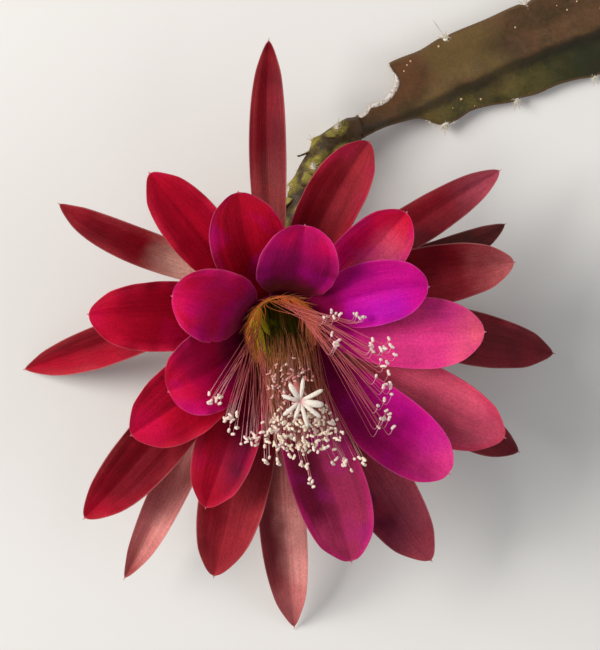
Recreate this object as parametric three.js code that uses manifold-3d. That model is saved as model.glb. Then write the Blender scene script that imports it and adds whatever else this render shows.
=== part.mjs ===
// One bloom of an orchid cactus, cut with the last length of its flat stem and lying face up on a
// table: tepals in five whorls round a green throat, the stamens and the style that lean out of it,
// the scaly floral tube and the stem. Millimetres, +Z up.
//
// The bloom is drawn round its own axis, with the rim of the throat centred above the origin, and
// the finished group is moved so that its origin is the middle of the underside of its box.

import * as THREE from "three";
import { mergeVertices } from "three/addons/utils/BufferGeometryUtils.js";
import Module from "manifold-3d";

const wasm = await Module();
wasm.setup();

// ---------------------------------------------------------------- driving dimensions

const RIM_HEIGHT = 45; // the throat's rim above the table
const RIM_RADIUS = 10.8; // outside of the floral tube at its rim
const NECK_RADIUS = 3.7; // outside of the floral tube where it leaves the stem
const OVARY_SWELLING = 0.9; // how much the ovary stands out of the tube
const STEM_JOINT = [24.5, 54.5, 8.5]; // where the tube meets the stem
const STEM_RUN = 20; // how strongly the tube holds the stem's direction before it bends
const SEAT = 0.3; // the gap between two pieces that touch
const BLADE = 0.7; // thickness of a tepal
const FOOT_GAP = 0.55; // from the tube's wall to the middle of a tepal's foot, whose edges hug it
const LEAN_GAP = 3; // more of the same lower down, where the tube leans, for each share of its length
const FOOT_HOLD = 0.42; // how far a tepal runs on as it left the tube, as a share of its length
const TIP_HOLD = 0.36; // the same at its tip

const THROAT_FLOOR = 0.25; // the floor of the throat, as a share of the tube's length
const RIM_WALL = 1.1; // the tube's wall at the rim
const DEEP_WALL = 1.9; // the tube's wall at the floor of the throat
const TUBE_SIDES = 20;

const STYLE_RADIUS = 1;
const STIGMA = [2.3, -13, 79]; // the middle of the stigma
const STIGMA_LOBES = 9;
const LOBE_LENGTH = 6.6;
const FILAMENT_RADIUS = 0.42;
const ANTHER_LENGTH = 2.4;

const STEM_LENGTH = 90;
const STEM_TURN = 19; // degrees from +X, the way the stem leaves the bloom
const STEM_EDGE = 1.5; // thickness of the stem at its edges

// Each whorl: the width of the narrow foot of a tepal and where the tepal is widest (both as
// shares), how blunt its end is, the rise of the midline in degrees at foot and tip, the arc that
// it is cupped to at its middle and end in degrees either side, and its keel.
const WHORLS = {
  crown: {
    foot: 0.4, widest: 0.62, blunt: 0.52, rise: [66, 4],
    cup: [24, 40], keel: 0.05,
  },
  inner: {
    foot: 0.4, widest: 0.62, blunt: 0.52, rise: [56, 8],
    cup: [24, 36], keel: 0.05,
  },
  middle: {
    foot: 0.44, widest: 0.6, blunt: 0.58, rise: [46, -4],
    cup: [24, 34], keel: 0.08,
  },
  outer: {
    foot: 0.48, widest: 0.56, blunt: 0.66, rise: [34, -14],
    cup: [26, 34], keel: 0.12,
  },
  lowest: {
    foot: 0.52, widest: 0.54, blunt: 0.8, rise: [24, -32],
    cup: [30, 34], keel: 0.18,
  },
};

// Each tepal: its whorl, where its foot sits on the tube (share of the tube's length from the rim),
// the azimuth of its foot, the azimuth, reach and height of its tip, its width, how far its tip is
// turned sideways, its own rise where it isn't the whorl's, and how much nearer its foot sits.
const tepal = (
  name, whorl, at, foot, tip, width, turn = 0, rise = WHORLS[whorl].rise, nearer = 0,
) => ({ name, whorl, at, foot, tip, width, turn, rise, nearer });
const TEPALS = [
  tepal("inner_tepal_1", "inner", 0.05, 2, [1.8, 55.7, 58], 21),
  tepal("inner_tepal_2", "crown", 0.008, 34, [21.5, 42, 64], 19, -18),
  tepal("inner_tepal_3", "inner", 0.062, 42, [46, 48.8, 54], 19, 4),
  tepal("inner_tepal_4", "crown", 0.014, 84, [82.5, 33.8, 68], 23, 0, [74, -22]),
  tepal("inner_tepal_5", "inner", 0.05, 113, [107.6, 44.2, 62], 22, -10, [56, -4]),
  tepal("inner_tepal_6", "crown", 0.014, 150, [156, 35, 68], 21.5, 14, [74, -20]),
  tepal("inner_tepal_7", "inner", 0.05, 200, [202, 35.5, 62], 24, 0, [66, -16]),
  tepal("inner_tepal_8", "inner", 0.05, 281, [286.3, 68.3, 50], 21.5, -6, [48, 4]),
  tepal("inner_tepal_9", "crown", 0.008, 318, [320, 60, 58], 20.5, 0, [46, 0]),
  tepal("middle_tepal_1", "middle", 0.1, 74, [66, 59.4, 48], 17, -12),
  tepal("middle_tepal_2", "middle", 0.095, 131, [129, 59.5, 50], 17),
  tepal("middle_tepal_3", "middle", 0.124, 171, [173, 55.3, 50], 20.5),
  tepal("middle_tepal_4", "middle", 0.088, 212, [212, 51, 54], 22),
  tepal("middle_tepal_5", "middle", 0.126, 241, [245.6, 54, 50], 18.2, 4),
  tepal("middle_tepal_6", "middle", 0.1, 334, [334, 70.6, 46], 21),
  tepal("outer_tepal_1", "outer", 0.15, 22, [15.4, 69.4, 38], 18, -8),
  tepal("outer_tepal_2", "lowest", 0.265, 15, [21.8, 72.5, 16], 10, 8, [24, -32], 0.65),
  tepal("outer_tepal_3", "outer", 0.19, 39, [35.5, 77, 36], 12.5, -3, [34, -14], 0.6),
  tepal("outer_tepal_4", "outer", 0.157, 99, [92, 81.8, 30], 10.8, -5, [34, -14], 0.65),
  tepal("outer_tepal_5", "lowest", 0.225, 154, [150.4, 72.2, 30], 11, -9, [24, -32], 0.7),
  tepal("outer_tepal_6", "lowest", 0.25, 190, [193.2, 76.2, 0.3], 13),
  tepal("outer_tepal_7", "outer", 0.195, 222, [224, 79, 36], 18),
  tepal("outer_tepal_8", "lowest", 0.258, 235, [239.7, 89.7, 18], 11.5, 2),
  tepal("outer_tepal_9", "outer", 0.15, 252, [255, 75.3, 36], 20, 4),
  tepal("outer_tepal_10", "lowest", 0.214, 267, [273.8, 98.4, 0.3], 14.5, 5),
  tepal("outer_tepal_11", "outer", 0.178, 297, [302.3, 83.6, 30], 20, 4),
  tepal("outer_tepal_12", "lowest", 0.235, 324, [330.2, 83.3, 16], 15.5, 4, [24, -32], -0.3),
  tepal("outer_tepal_13", "lowest", 0.208, 355, [351.2, 84.3, 10], 16.5),
];

// ---------------------------------------------------------------- small tools

const radians = THREE.MathUtils.degToRad;
const smooth = THREE.MathUtils.smoothstep;
const vec = (x, y, z) => new THREE.Vector3(x, y, z);
const UP = vec(0, 0, 1);

// A seeded random number from 0 to 1.
let seed = 20417;
function random() {
  seed = (seed * 1664525 + 1013904223) % 4294967296;
  return seed / 4294967296;
}
const spread = (middle, half) => middle + half * (2 * random() - 1);

function direction(azimuth, rise) {
  const flat = Math.cos(radians(rise));
  return vec(
    flat * Math.cos(radians(azimuth)),
    flat * Math.sin(radians(azimuth)),
    Math.sin(radians(rise)),
  );
}

// The value at s of a smooth curve through [s, value] points.
function through(points, s) {
  let i = 0;
  while (i < points.length - 2 && s > points[i + 1][0]) i++;
  const slope = (k) => {
    const a = points[Math.max(k - 1, 0)];
    const b = points[Math.min(k + 1, points.length - 1)];
    return (b[1] - a[1]) / (b[0] - a[0]);
  };
  const [s0, a] = points[i];
  const [s1, b] = points[i + 1];
  const h = s1 - s0;
  const t = (s - s0) / h;
  return (
    a * (1 + 2 * t) * (1 - t) ** 2 +
    b * t * t * (3 - 2 * t) +
    h * slope(i) * t * (1 - t) ** 2 -
    h * slope(i + 1) * t * t * (1 - t)
  );
}

// A geometry from points and triangles, turned so that its faces point out.
function bodyFrom(points, triangles) {
  let volume = 0;
  const cross = new THREE.Vector3();
  for (let i = 0; i < triangles.length; i += 3) {
    const [a, b, c] = [0, 1, 2].map((k) => points[triangles[i + k]]);
    volume += a.dot(cross.crossVectors(b, c));
  }
  if (volume < 0)
    for (let i = 0; i < triangles.length; i += 3)
      [triangles[i + 1], triangles[i + 2]] = [triangles[i + 2], triangles[i + 1]];
  return new THREE.BufferGeometry().setFromPoints(points).setIndex(triangles);
}

// A closed body through rings of equal counts, each end closed round the ring's middle.
function throughRings(rings) {
  const n = rings[0].length;
  const points = rings.flat();
  const triangles = [];
  for (let i = 0; i + 1 < rings.length; i++)
    for (let j = 0; j < n; j++) {
      const k = (j + 1) % n;
      const [a, b, c, d] = [i * n + j, i * n + k, (i + 1) * n + j, (i + 1) * n + k];
      triangles.push(a, b, c, b, d, c);
    }
  for (const [ring, first, forward] of [
    [rings[0], 0, false],
    [rings.at(-1), (rings.length - 1) * n, true],
  ]) {
    const middle = points.length;
    points.push(ring.reduce((sum, p) => sum.add(p), vec(0, 0, 0)).divideScalar(n));
    for (let j = 0; j < n; j++) {
      const [a, b] = [first + j, first + ((j + 1) % n)];
      triangles.push(middle, ...(forward ? [a, b] : [b, a]));
    }
  }
  return bodyFrom(points, triangles);
}

// A closed blade round a sheet of rows of {point, normal}, drawn to one point at its tip. Both
// faces are split into triangles alike.
function blade(rows, tip, thickness) {
  const across = rows[0].length;
  const cells = [...rows.flat(), tip];
  const offset = (cell, side) =>
    cell.point.clone().addScaledVector(cell.normal, (side * thickness) / 2);
  const points = [...cells.map((c) => offset(c, 1)), ...cells.map((c) => offset(c, -1))];
  const under = cells.length;
  const triangles = [];
  const face = (a, b, c) => triangles.push(a, b, c, under + c, under + b, under + a);
  const edge = (a, b) => triangles.push(b, under + b, a, a, under + b, under + a);
  for (let i = 0; i + 1 < rows.length; i++)
    for (let j = 0; j + 1 < across; j++) {
      const a = i * across + j;
      face(a, a + 1, a + across);
      face(a + 1, a + across + 1, a + across);
    }
  const last = (rows.length - 1) * across;
  for (let j = 0; j + 1 < across; j++) {
    face(last + j, last + j + 1, under - 1);
    edge(j + 1, j);
  }
  for (let i = 0; i + 1 < rows.length; i++) {
    edge(i * across, (i + 1) * across);
    edge((i + 2) * across - 1, (i + 1) * across - 1);
  }
  edge(last, under - 1);
  edge(under - 1, last + across - 1);
  return bodyFrom(points, triangles);
}

// A round body along a curve, with the radius given at each step. The steps start short where the
// pace is over 1.
function rod(curve, radii, sides, pace = 1) {
  const steps = radii.length - 1;
  const rings = radii.map((radius, i) => {
    const t = (i / steps) ** pace;
    const along = curve.getTangent(t);
    const side = vec(1, 0, 0).addScaledVector(along, -along.x).normalize();
    const other = side.clone().cross(along);
    return Array.from({ length: sides }, (_, j) => {
      const a = (2 * Math.PI * j) / sides;
      return curve
        .getPoint(t)
        .addScaledVector(side, radius * Math.cos(a))
        .addScaledVector(other, radius * Math.sin(a));
    });
  });
  return throughRings(rings);
}

// A long bead with eight faces, such as an anther or a tuft of wool.
function bead(middle, along, half, radius) {
  const side = vec(along.y, -along.x, 0);
  if (side.lengthSq() < 1e-6) side.set(1, 0, 0);
  side.normalize();
  const other = side.clone().cross(along).normalize();
  const place = (a, b, c) =>
    middle
      .clone()
      .addScaledVector(along, a * half)
      .addScaledVector(side, b * radius)
      .addScaledVector(other, c * radius);
  const points = [
    place(1, 0, 0), place(-1, 0, 0),
    place(0, 1, 0), place(0, 0, 1), place(0, -1, 0), place(0, 0, -1),
  ];
  const triangles = [];
  for (let j = 0; j < 4; j++) {
    const [a, b] = [2 + j, 2 + ((j + 1) % 4)];
    triangles.push(0, a, b, 1, b, a);
  }
  return bodyFrom(points, triangles);
}

function solidOf(geometry) {
  const plain = new THREE.BufferGeometry();
  plain.setAttribute("position", geometry.getAttribute("position"));
  plain.setIndex(geometry.index);
  const merged = mergeVertices(plain, 1e-5);
  return new wasm.Manifold(
    new wasm.Mesh({
      numProp: 3,
      vertProperties: merged.attributes.position.array,
      triVerts: new Uint32Array(merged.index.array),
    }),
  );
}

function geometryOf(solid) {
  const { vertProperties, triVerts } = solid.getMesh();
  return new THREE.BufferGeometry()
    .setAttribute("position", new THREE.BufferAttribute(vertProperties, 3))
    .setIndex(new THREE.BufferAttribute(triVerts, 1));
}

// One body of all the given geometries.
const fuse = (geometries) => geometryOf(wasm.Manifold.union(geometries.map(solidOf)));

// ---------------------------------------------------------------- the floral tube's own shape

// The tube's axis drops straight from the rim, then bends along the table to the stem.
const stemTurn = direction(STEM_TURN, 0);
const TUBE_AXIS = new THREE.CubicBezierCurve3(
  vec(0, 0, RIM_HEIGHT),
  vec(0, 0, 2),
  vec(...STEM_JOINT).addScaledVector(stemTurn, -STEM_RUN),
  vec(...STEM_JOINT),
);

function tubeRadius(t) {
  const flare = Math.exp(-((t / 0.28) ** 1.8));
  const ovary = Math.exp(-(((t - 0.72) / 0.14) ** 2));
  return NECK_RADIUS + (RIM_RADIUS - NECK_RADIUS) * flare + OVARY_SWELLING * ovary;
}

const wallAt = (t) => THREE.MathUtils.lerp(RIM_WALL, DEEP_WALL, t / THROAT_FLOOR);
const throatRadius = (t) => tubeRadius(t) - wallAt(t);

// The point at an azimuth round the tube's axis, and the outward direction there.
function roundTube(t, azimuth, radius) {
  const along = TUBE_AXIS.getTangent(t);
  const side = vec(1, 0, 0).addScaledVector(along, -along.x).normalize();
  const other = side.clone().cross(along);
  const outward = side
    .multiplyScalar(Math.cos(radians(azimuth)))
    .addScaledVector(other, Math.sin(radians(azimuth)));
  return { point: TUBE_AXIS.getPoint(t).addScaledVector(outward, radius), outward, along };
}

function tubeRing(t, radius) {
  const turn = 360 / TUBE_SIDES;
  return Array.from({ length: TUBE_SIDES }, (_, j) => roundTube(t, j * turn, radius).point);
}

// ---------------------------------------------------------------- tepals

const TEPAL_ROWS = [0, 0.12, 0.26, 0.4, 0.53, 0.65, 0.76, 0.86, 0.94, 0.985];
const TEPAL_COLUMNS = [-1, -0.5, 0, 0.5, 1];

// Half the width at u as a share of the widest: a narrow foot, a round end and a small point.
function tepalOutline(u, whorl) {
  const rise = smooth(u / whorl.widest, 0, 1);
  if (u < whorl.widest) return whorl.foot + (1 - whorl.foot) * rise ** 0.95;
  const end = (u - whorl.widest) / (1 - whorl.widest);
  const round = Math.max(0, 1 - (end / 0.965) ** 2.3) ** whorl.blunt;
  const point = 0.1 * Math.min(1, (1 - end) / 0.12);
  return Math.max(round, point);
}

// The point and normal of a tepal's middle sheet, u from foot to tip and v from edge to edge.
function tepalSheet({ whorl: name, at, foot, tip, width, turn, rise, nearer }) {
  const whorl = WHORLS[name];
  const footRadius = tubeRadius(at) + BLADE / 2 + FOOT_GAP + LEAN_GAP * at - nearer;
  const root = roundTube(at, foot, footRadius).point;
  const [azimuth, reach, height] = tip;
  const end = direction(azimuth, 0).multiplyScalar(reach).setZ(height);
  const length = root.distanceTo(end);
  const chord = end.clone().sub(root);
  const heading = THREE.MathUtils.radToDeg(Math.atan2(chord.y, chord.x));
  const midline = new THREE.CubicBezierCurve3(
    root,
    root.clone().addScaledVector(direction(foot, rise[0]), length * FOOT_HOLD),
    end.clone().addScaledVector(direction(heading + turn, rise[1]), -length * TIP_HOLD),
    end,
  );
  const hug = Math.asin(Math.min(0.9, (whorl.foot * width) / 2 / footRadius));
  return (u, v) => {
    const along = midline.getTangent(u);
    const side = UP.clone().cross(along).normalize();
    const up = along.clone().cross(side);
    const half = (width / 2) * tepalOutline(u, whorl);
    const [middle, far] = whorl.cup.map(radians);
    const cup = u < 0.45
      ? THREE.MathUtils.lerp(hug, middle, u / 0.45)
      : THREE.MathUtils.lerp(middle, far, (u - 0.45) / 0.55);
    const lift = (half * (1 - Math.cos(cup * v))) / cup + whorl.keel * half * Math.abs(v);
    return {
      point: midline
        .getPoint(u)
        .addScaledVector(side, (half * Math.sin(cup * v)) / cup)
        .addScaledVector(up, lift),
      normal: up
        .clone()
        .multiplyScalar(Math.cos(cup * v))
        .addScaledVector(side, -Math.sin(cup * v)),
    };
  };
}

function tepalBody(spec) {
  const sheet = tepalSheet(spec);
  const rows = TEPAL_ROWS.map((u) => TEPAL_COLUMNS.map((v) => sheet(u, v)));
  return blade(rows, sheet(1, 0), BLADE);
}

// ---------------------------------------------------------------- the floral tube with its scales

const SCALES = 14;
const GOLDEN_ANGLE = 137.5;

function tubeWall() {
  const outside = [1, 0.9, 0.8, 0.72, 0.64, 0.55, 0.46, 0.37, 0.3, 0.24];
  const shared = [0.19, 0.14, 0.09, 0.05, 0.02, 0];
  const rings = [
    ...[...outside, ...shared].map((t) => tubeRing(t, tubeRadius(t))),
    ...[...shared].reverse().map((t) => tubeRing(t, throatRadius(t))),
    tubeRing(THROAT_FLOOR, throatRadius(THROAT_FLOOR)),
  ];
  return throughRings(rings);
}

// A leafy scale that lies along the tube and points to the bloom, with a tuft of wool in its axil.
function scaleAndTuft(i) {
  const t = 0.95 - 0.036 * i;
  const azimuth = GOLDEN_ANGLE * i;
  const length = 3.6 + 0.22 * i;
  const width = 3.2 + 0.05 * i;
  const { point, outward, along } = roundTube(t, azimuth, tubeRadius(t));
  const forward = along.clone().negate();
  const side = forward.clone().cross(outward);
  const sheet = (u, v) => ({
    point: point
      .clone()
      .addScaledVector(forward, length * u)
      .addScaledVector(outward, -0.5 + 2.1 * u - 0.6 * v * v * (1 - u))
      .addScaledVector(side, ((width * v) / 2) * (1 - 0.75 * u * u)),
    normal: outward,
  });
  const rows = [0, 0.4, 0.8].map((u) => [-1, 0, 1].map((v) => sheet(u, v)));
  const tuft = point.clone().addScaledVector(outward, 0.5).addScaledVector(forward, -0.6);
  return [blade(rows, sheet(1, 0), 0.8), bead(tuft, outward, 1.3, 0.9)];
}

function floralTube() {
  const scales = Array.from({ length: SCALES }, (_, i) => scaleAndTuft(i));
  return fuse([tubeWall(), ...scales.flat()]);
}

// ---------------------------------------------------------------- stamens

// Where the anthers stand: a fringe on each side, a low fringe and a crowd under the stigma.
const FRINGES = [
  { count: 7, path: [[-21, -9, 66], [-15, -22, 67], [-7, -29, 67]], foot: [185, 250], deep: 0.06 },
  { count: 8, path: [[12.7, 7.6, 65], [26.3, -4.4, 64], [25.5, -25.4, 66]], foot: [35, -60], deep: 0.06 },
  { count: 8, path: [[-3.4, -33, 69], [10, -40.5, 68], [21.5, -32.5, 69]], foot: [245, 305], deep: 0.06 },
];
const CROWD = { count: 16, middle: [4, -21, 72], half: [11, 6, 2.5], deep: 0.14 };
const UPPER_CROWD = { count: 4, middle: [-2, -5.5, 71], half: [4.5, 2, 2], deep: 0.14 };

function filamentAndAnther(foot, deep, tip) {
  const { point: root } = roundTube(deep, foot, throatRadius(deep) - SEAT - 0.7);
  const length = root.distanceTo(tip);
  const leave = direction(foot, 97).multiplyScalar(length * 0.42);
  const arrive = vec(tip.x - root.x, tip.y - root.y, 0).normalize().multiplyScalar(0.75);
  arrive.z = 0.65;
  const curve = new THREE.CubicBezierCurve3(
    root,
    root.clone().add(leave),
    tip.clone().addScaledVector(arrive, -length * 0.3),
    tip,
  );
  const radii = [1.15, 1.1, 1, 1, 0.9].map((share) => share * FILAMENT_RADIUS);
  const facing = direction(foot, 30);
  return [rod(curve, radii, 3, 1.5), bead(tip, facing, ANTHER_LENGTH / 2, 0.75)];
}

// The feet of the filaments grow together into a sleeve against the wall of the throat.
function filamentSleeve() {
  const levels = [0.19, 0.14, 0.09, 0.05, 0.02];
  const outside = levels.map((t) => tubeRing(t, throatRadius(t) - SEAT));
  const inside = levels.map((t) => tubeRing(t, throatRadius(t) - SEAT - 0.9));
  const rings = [...outside, ...inside.reverse()];
  const n = TUBE_SIDES;
  const triangles = [];
  rings.forEach((_, i) => {
    const next = (i + 1) % rings.length;
    for (let j = 0; j < n; j++) {
      const k = (j + 1) % n;
      const [a, b, c, d] = [i * n + j, i * n + k, next * n + j, next * n + k];
      triangles.push(a, b, c, b, d, c);
    }
  });
  return bodyFrom(rings.flat(), triangles);
}

function stamens() {
  const pieces = [filamentSleeve()];
  for (const { count, path, foot, deep } of FRINGES) {
    const line = new THREE.CatmullRomCurve3(path.map((p) => vec(...p)));
    for (let i = 0; i < count; i++) {
      const share = i / (count - 1);
      const tip = line.getPoint(share);
      tip.add(vec(spread(0, 1), spread(0, 1), spread(0, 1)));
      const azimuth = THREE.MathUtils.lerp(foot[0], foot[1], share);
      pieces.push(...filamentAndAnther(azimuth, deep, tip));
    }
  }
  for (const { count, middle, half, deep } of [CROWD, UPPER_CROWD])
    for (let i = 0; i < count; i++) {
      const a = radians(GOLDEN_ANGLE * i);
      const r = Math.sqrt((i + 0.5) / count);
      const tip = vec(
        middle[0] + half[0] * r * Math.cos(a),
        middle[1] + half[1] * r * Math.sin(a),
        spread(middle[2], half[2]),
      );
      const below = middle[1] < -10;
      const across = (tip.x - STIGMA[0]) / 14;
      const azimuth = below ? 270 + 75 * across : 90 - 60 * across;
      pieces.push(...filamentAndAnther(azimuth, deep, tip));
    }
  return fuse(pieces);
}

// ---------------------------------------------------------------- style and stigma

function style() {
  const heart = vec(...STIGMA);
  const start = TUBE_AXIS.getPoint(THROAT_FLOOR - 0.007);
  const curve = new THREE.CubicBezierCurve3(
    start,
    vec(0, 0.5, 46),
    heart.clone().add(vec(-1, 7, -18)),
    heart,
  );
  const radii = [1, 1, 1, 1, 1, 1, 1, 1, 1.1, 1.25].map((share) => share * STYLE_RADIUS);
  const pieces = [rod(curve, radii, 8)];
  for (let i = 0; i < STIGMA_LOBES; i++) {
    const azimuth = (360 * i) / STIGMA_LOBES + 14;
    const lobe = new THREE.QuadraticBezierCurve3(
      heart.clone().addScaledVector(UP, -0.5),
      heart.clone().add(direction(azimuth, 16).multiplyScalar(LOBE_LENGTH * 0.55)),
      heart.clone().add(direction(azimuth, 20).multiplyScalar(LOBE_LENGTH)),
    );
    pieces.push(rod(lobe, [0.6, 0.7, 0.85, 0.55], 5));
  }
  return fuse(pieces);
}

// ---------------------------------------------------------------- the stem

// The stem's edges, its ridge and the height of its middle, along its length. Its upper edge is
// the one on the left when looking along it from the bloom.
const LEFT_EDGE = [
  [0, 3.2], [4, 4.2], [9, 10.4], [13.3, 13.4], [17, 14.6], [24, 14.9], [30.5, 16.2], [32.2, 15.8],
  [34, 16.4], [45, 17], [55.5, 17.9], [57.4, 17.2], [59.5, 17.9], [70, 18.6], [80, 18.9],
  [82, 18.2], [84, 18.7], [90, 18.6],
];
const RIGHT_EDGE = [
  [0, -3.4], [6, -2.8], [12, -3.1], [18, -4.2], [21.5, -7], [24, -8.4], [28, -8.2], [33, -7.1],
  [39, -7.6], [45, -8.7], [48, -8.5], [53, -8.9], [60, -8.4], [66, -8.9], [70.5, -9.7],
  [74, -9.3], [82, -8.2], [90, -7.4],
];
const RIDGE = [[0, 0], [14, -0.2], [30, 1.6], [45, 3], [60, 3.8], [90, 4.8]];
const MIDDLE_HEIGHT = [[0, STEM_JOINT[2]], [10, 6.4], [24, 4.8], [45, 4], [90, 3.9]];
const RIDGE_HALF = [[0, 3.1], [12, 3], [30, 3.4], [50, 4], [70, 4.6], [90, 4.6]];
const BITE = { middle: [7.5, 13.1], half: [8, 8.2] }; // a healed bite in the left edge
const AREOLES = [
  { at: [32.2, 15.7], points: 150 }, { at: [57.4, 17.1], points: 120 },
  { at: [82, 18.1], points: 100 }, { at: [24.2, -8.2], points: -80 },
  { at: [46.6, -8.5], points: -70 }, { at: [70.6, -9.5], points: -80 },
];

const stemSide = UP.clone().cross(stemTurn);
const onStem = (s, w, z) =>
  vec(STEM_JOINT[0], STEM_JOINT[1], z)
    .addScaledVector(stemTurn, s + SEAT)
    .addScaledVector(stemSide, w);

// Half the thickness and the height of the middle sheet at s along and w across.
function stemSection(s, w) {
  const ridge = through(RIDGE, s);
  const edge = w > ridge ? through(LEFT_EDGE, s) : through(RIGHT_EDGE, s);
  const out = Math.min(1, Math.abs(w - ridge) / Math.abs(edge - ridge));
  const rib = Math.exp(-(((w - ridge) / 3.2) ** 2));
  const round = Math.sqrt(Math.max(0, 1 - out ** 6));
  const wing = STEM_EDGE * (0.45 + 0.55 * round);
  const half = wing + (through(RIDGE_HALF, s) - STEM_EDGE) * rib;
  const tilt = w > ridge ? 1.2 * out : -1.1 * out;
  return { half, middle: through(MIDDLE_HEIGHT, s) + tilt * smooth(s, 4, 24) };
}

function stemBlade() {
  const rings = [];
  const shares = [1, 0.85, 0.45, 0.2, 0.09]; // the last one bounds the flat strip it rests on
  const stations = Array.from({ length: 31 }, (_, i) => (STEM_LENGTH * i) / 30);
  for (const s of stations) {
    const [left, right, ridge] = [LEFT_EDGE, RIGHT_EDGE, RIDGE].map((line) => through(line, s));
    const across = [
      ...shares.map((share) => THREE.MathUtils.lerp(ridge, left, share)),
      ridge,
      ...[...shares].reverse().map((share) => THREE.MathUtils.lerp(ridge, right, share)),
    ];
    const over = across.map((w) => {
      const { half, middle } = stemSection(s, w);
      return onStem(s, w, middle + half);
    });
    const under = across.map((w) => {
      const { half, middle } = stemSection(s, w);
      return onStem(s, w, Math.max(0, middle - half));
    });
    rings.push([...over, ...under.reverse()]);
  }
  return throughRings(rings);
}

function biteCutter() {
  const cutter = new THREE.CylinderGeometry(1, 1, 40, 24);
  cutter.rotateX(Math.PI / 2);
  cutter.scale(BITE.half[0], BITE.half[1], 1);
  cutter.rotateZ(radians(STEM_TURN));
  const place = onStem(BITE.middle[0], BITE.middle[1], 0);
  return cutter.translate(place.x, place.y, place.z);
}

function areole({ at: [s, w], points }) {
  const { middle } = stemSection(s, w);
  const heart = onStem(s, w, middle);
  const out = direction(STEM_TURN + points, 0);
  const spines = [-28, 0, 30].map((turn, i) => {
    const way = direction(STEM_TURN + points + turn, 14 - 14 * i);
    const length = [3.2, 6, 2.8][i];
    const line = new THREE.LineCurve3(
      heart.clone().addScaledVector(way, -0.6),
      heart.clone().addScaledVector(way, length),
    );
    return rod(line, [0.4, 0.34, 0.16], 3);
  });
  return [bead(heart.clone().addScaledVector(out, 0.3), out, 1.4, 1.15), ...spines];
}

function stem() {
  const bitten = solidOf(stemBlade()).subtract(solidOf(biteCutter()));
  return fuse([geometryOf(bitten), ...AREOLES.flatMap(areole)]);
}

// ---------------------------------------------------------------- the bloom

const finish = (color, roughness) =>
  new THREE.MeshStandardMaterial({ color, roughness, metalness: 0, flatShading: true });
const COLOURS = {
  crown: finish("#b0129a", 0.45),
  inner: finish("#c2185f", 0.45),
  middle: finish("#b3122e", 0.5),
  outer: finish("#ab3340", 0.55),
  lowest: finish("#a8534f", 0.55),
  tube: finish("#7d8a35", 0.6),
  stamens: finish("#e8c9a8", 0.6),
  style: finish("#f3ead6", 0.5),
  stem: finish("#5e5a2c", 0.65),
};

const bloom = new THREE.Group();
function add(name, geometry, material) {
  const mesh = new THREE.Mesh(geometry, material);
  mesh.name = name;
  bloom.add(mesh);
}

add("stem", stem(), COLOURS.stem);
add("floral_tube", floralTube(), COLOURS.tube);
add("stamens", stamens(), COLOURS.stamens);
add("style", style(), COLOURS.style);
for (const spec of TEPALS) add(spec.name, tepalBody(spec), COLOURS[spec.whorl]);

// The origin is the middle of the underside of the box round the whole bloom.
const box = new THREE.Box3().setFromObject(bloom);
bloom.position.set(-(box.min.x + box.max.x) / 2, -(box.min.y + box.max.y) / 2, -box.min.z);

const part = new THREE.Group().add(bloom);
export default part;
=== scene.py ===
# %% [markdown]
# # A cut orchid cactus bloom
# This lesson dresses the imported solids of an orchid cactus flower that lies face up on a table:
# 28 tepals in five whorls, a green throat full of stamens, a star-shaped stigma, the scaly floral
# tube and the last length of the flat stem. Each solid stays as the frame. A finer mesh, grown from
# the same named sizes, stands in its place and gets a procedural material.

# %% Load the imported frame
import math
from collections import namedtuple

import bpy
import numpy as np
from mathutils import Matrix, Vector


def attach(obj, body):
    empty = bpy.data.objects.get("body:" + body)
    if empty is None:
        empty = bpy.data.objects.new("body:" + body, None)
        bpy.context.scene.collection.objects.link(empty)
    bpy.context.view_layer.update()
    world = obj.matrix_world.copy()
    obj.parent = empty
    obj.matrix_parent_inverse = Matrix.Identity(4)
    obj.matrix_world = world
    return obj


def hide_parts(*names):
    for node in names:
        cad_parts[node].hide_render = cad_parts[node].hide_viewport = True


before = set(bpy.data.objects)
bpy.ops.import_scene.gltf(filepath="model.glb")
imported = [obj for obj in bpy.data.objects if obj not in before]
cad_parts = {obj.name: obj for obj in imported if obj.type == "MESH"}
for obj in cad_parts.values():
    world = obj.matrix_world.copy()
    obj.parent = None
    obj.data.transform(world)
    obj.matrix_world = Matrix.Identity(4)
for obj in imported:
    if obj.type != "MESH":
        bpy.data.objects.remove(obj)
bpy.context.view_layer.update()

# %% [markdown]
# ## Sizes and the bloom's own axis
# A flower is easiest to think of round its own axis: every tepal starts at an azimuth on the tube and
# ends at an azimuth and a reach. So all shapes below are in millimetres round the middle of the
# throat's rim, and one shift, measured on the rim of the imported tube, carries them into the frame.

# %% Sizes in millimetres
RIM_HEIGHT = 45.0
RIM_RADIUS = 10.8
NECK_RADIUS = 3.7
OVARY_SWELLING = 0.9
STEM_JOINT = np.array([24.5, 54.5, 8.5])
SEAT = 0.3
BLADE = 0.7
FOOT_GAP = 0.55
LEAN_GAP = 3.0
FOOT_HOLD = 0.42
TIP_HOLD = 0.36
THROAT_FLOOR = 0.25
RIM_WALL = 1.1
DEEP_WALL = 1.9
STIGMA = np.array([2.3, -13.0, 79.0])
STEM_LENGTH = 90.0
STEM_TURN = 19.0
STEM_RUN = 20.0  # how strongly the tube holds the stem's direction before it bends
STEM_EDGE = 1.5
MM = 1000.0
UP = np.array([0.0, 0.0, 1.0])
print("rim", RIM_HEIGHT, "mm up and", 2 * RIM_RADIUS, "mm wide, stem", STEM_LENGTH, "mm long")

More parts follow.
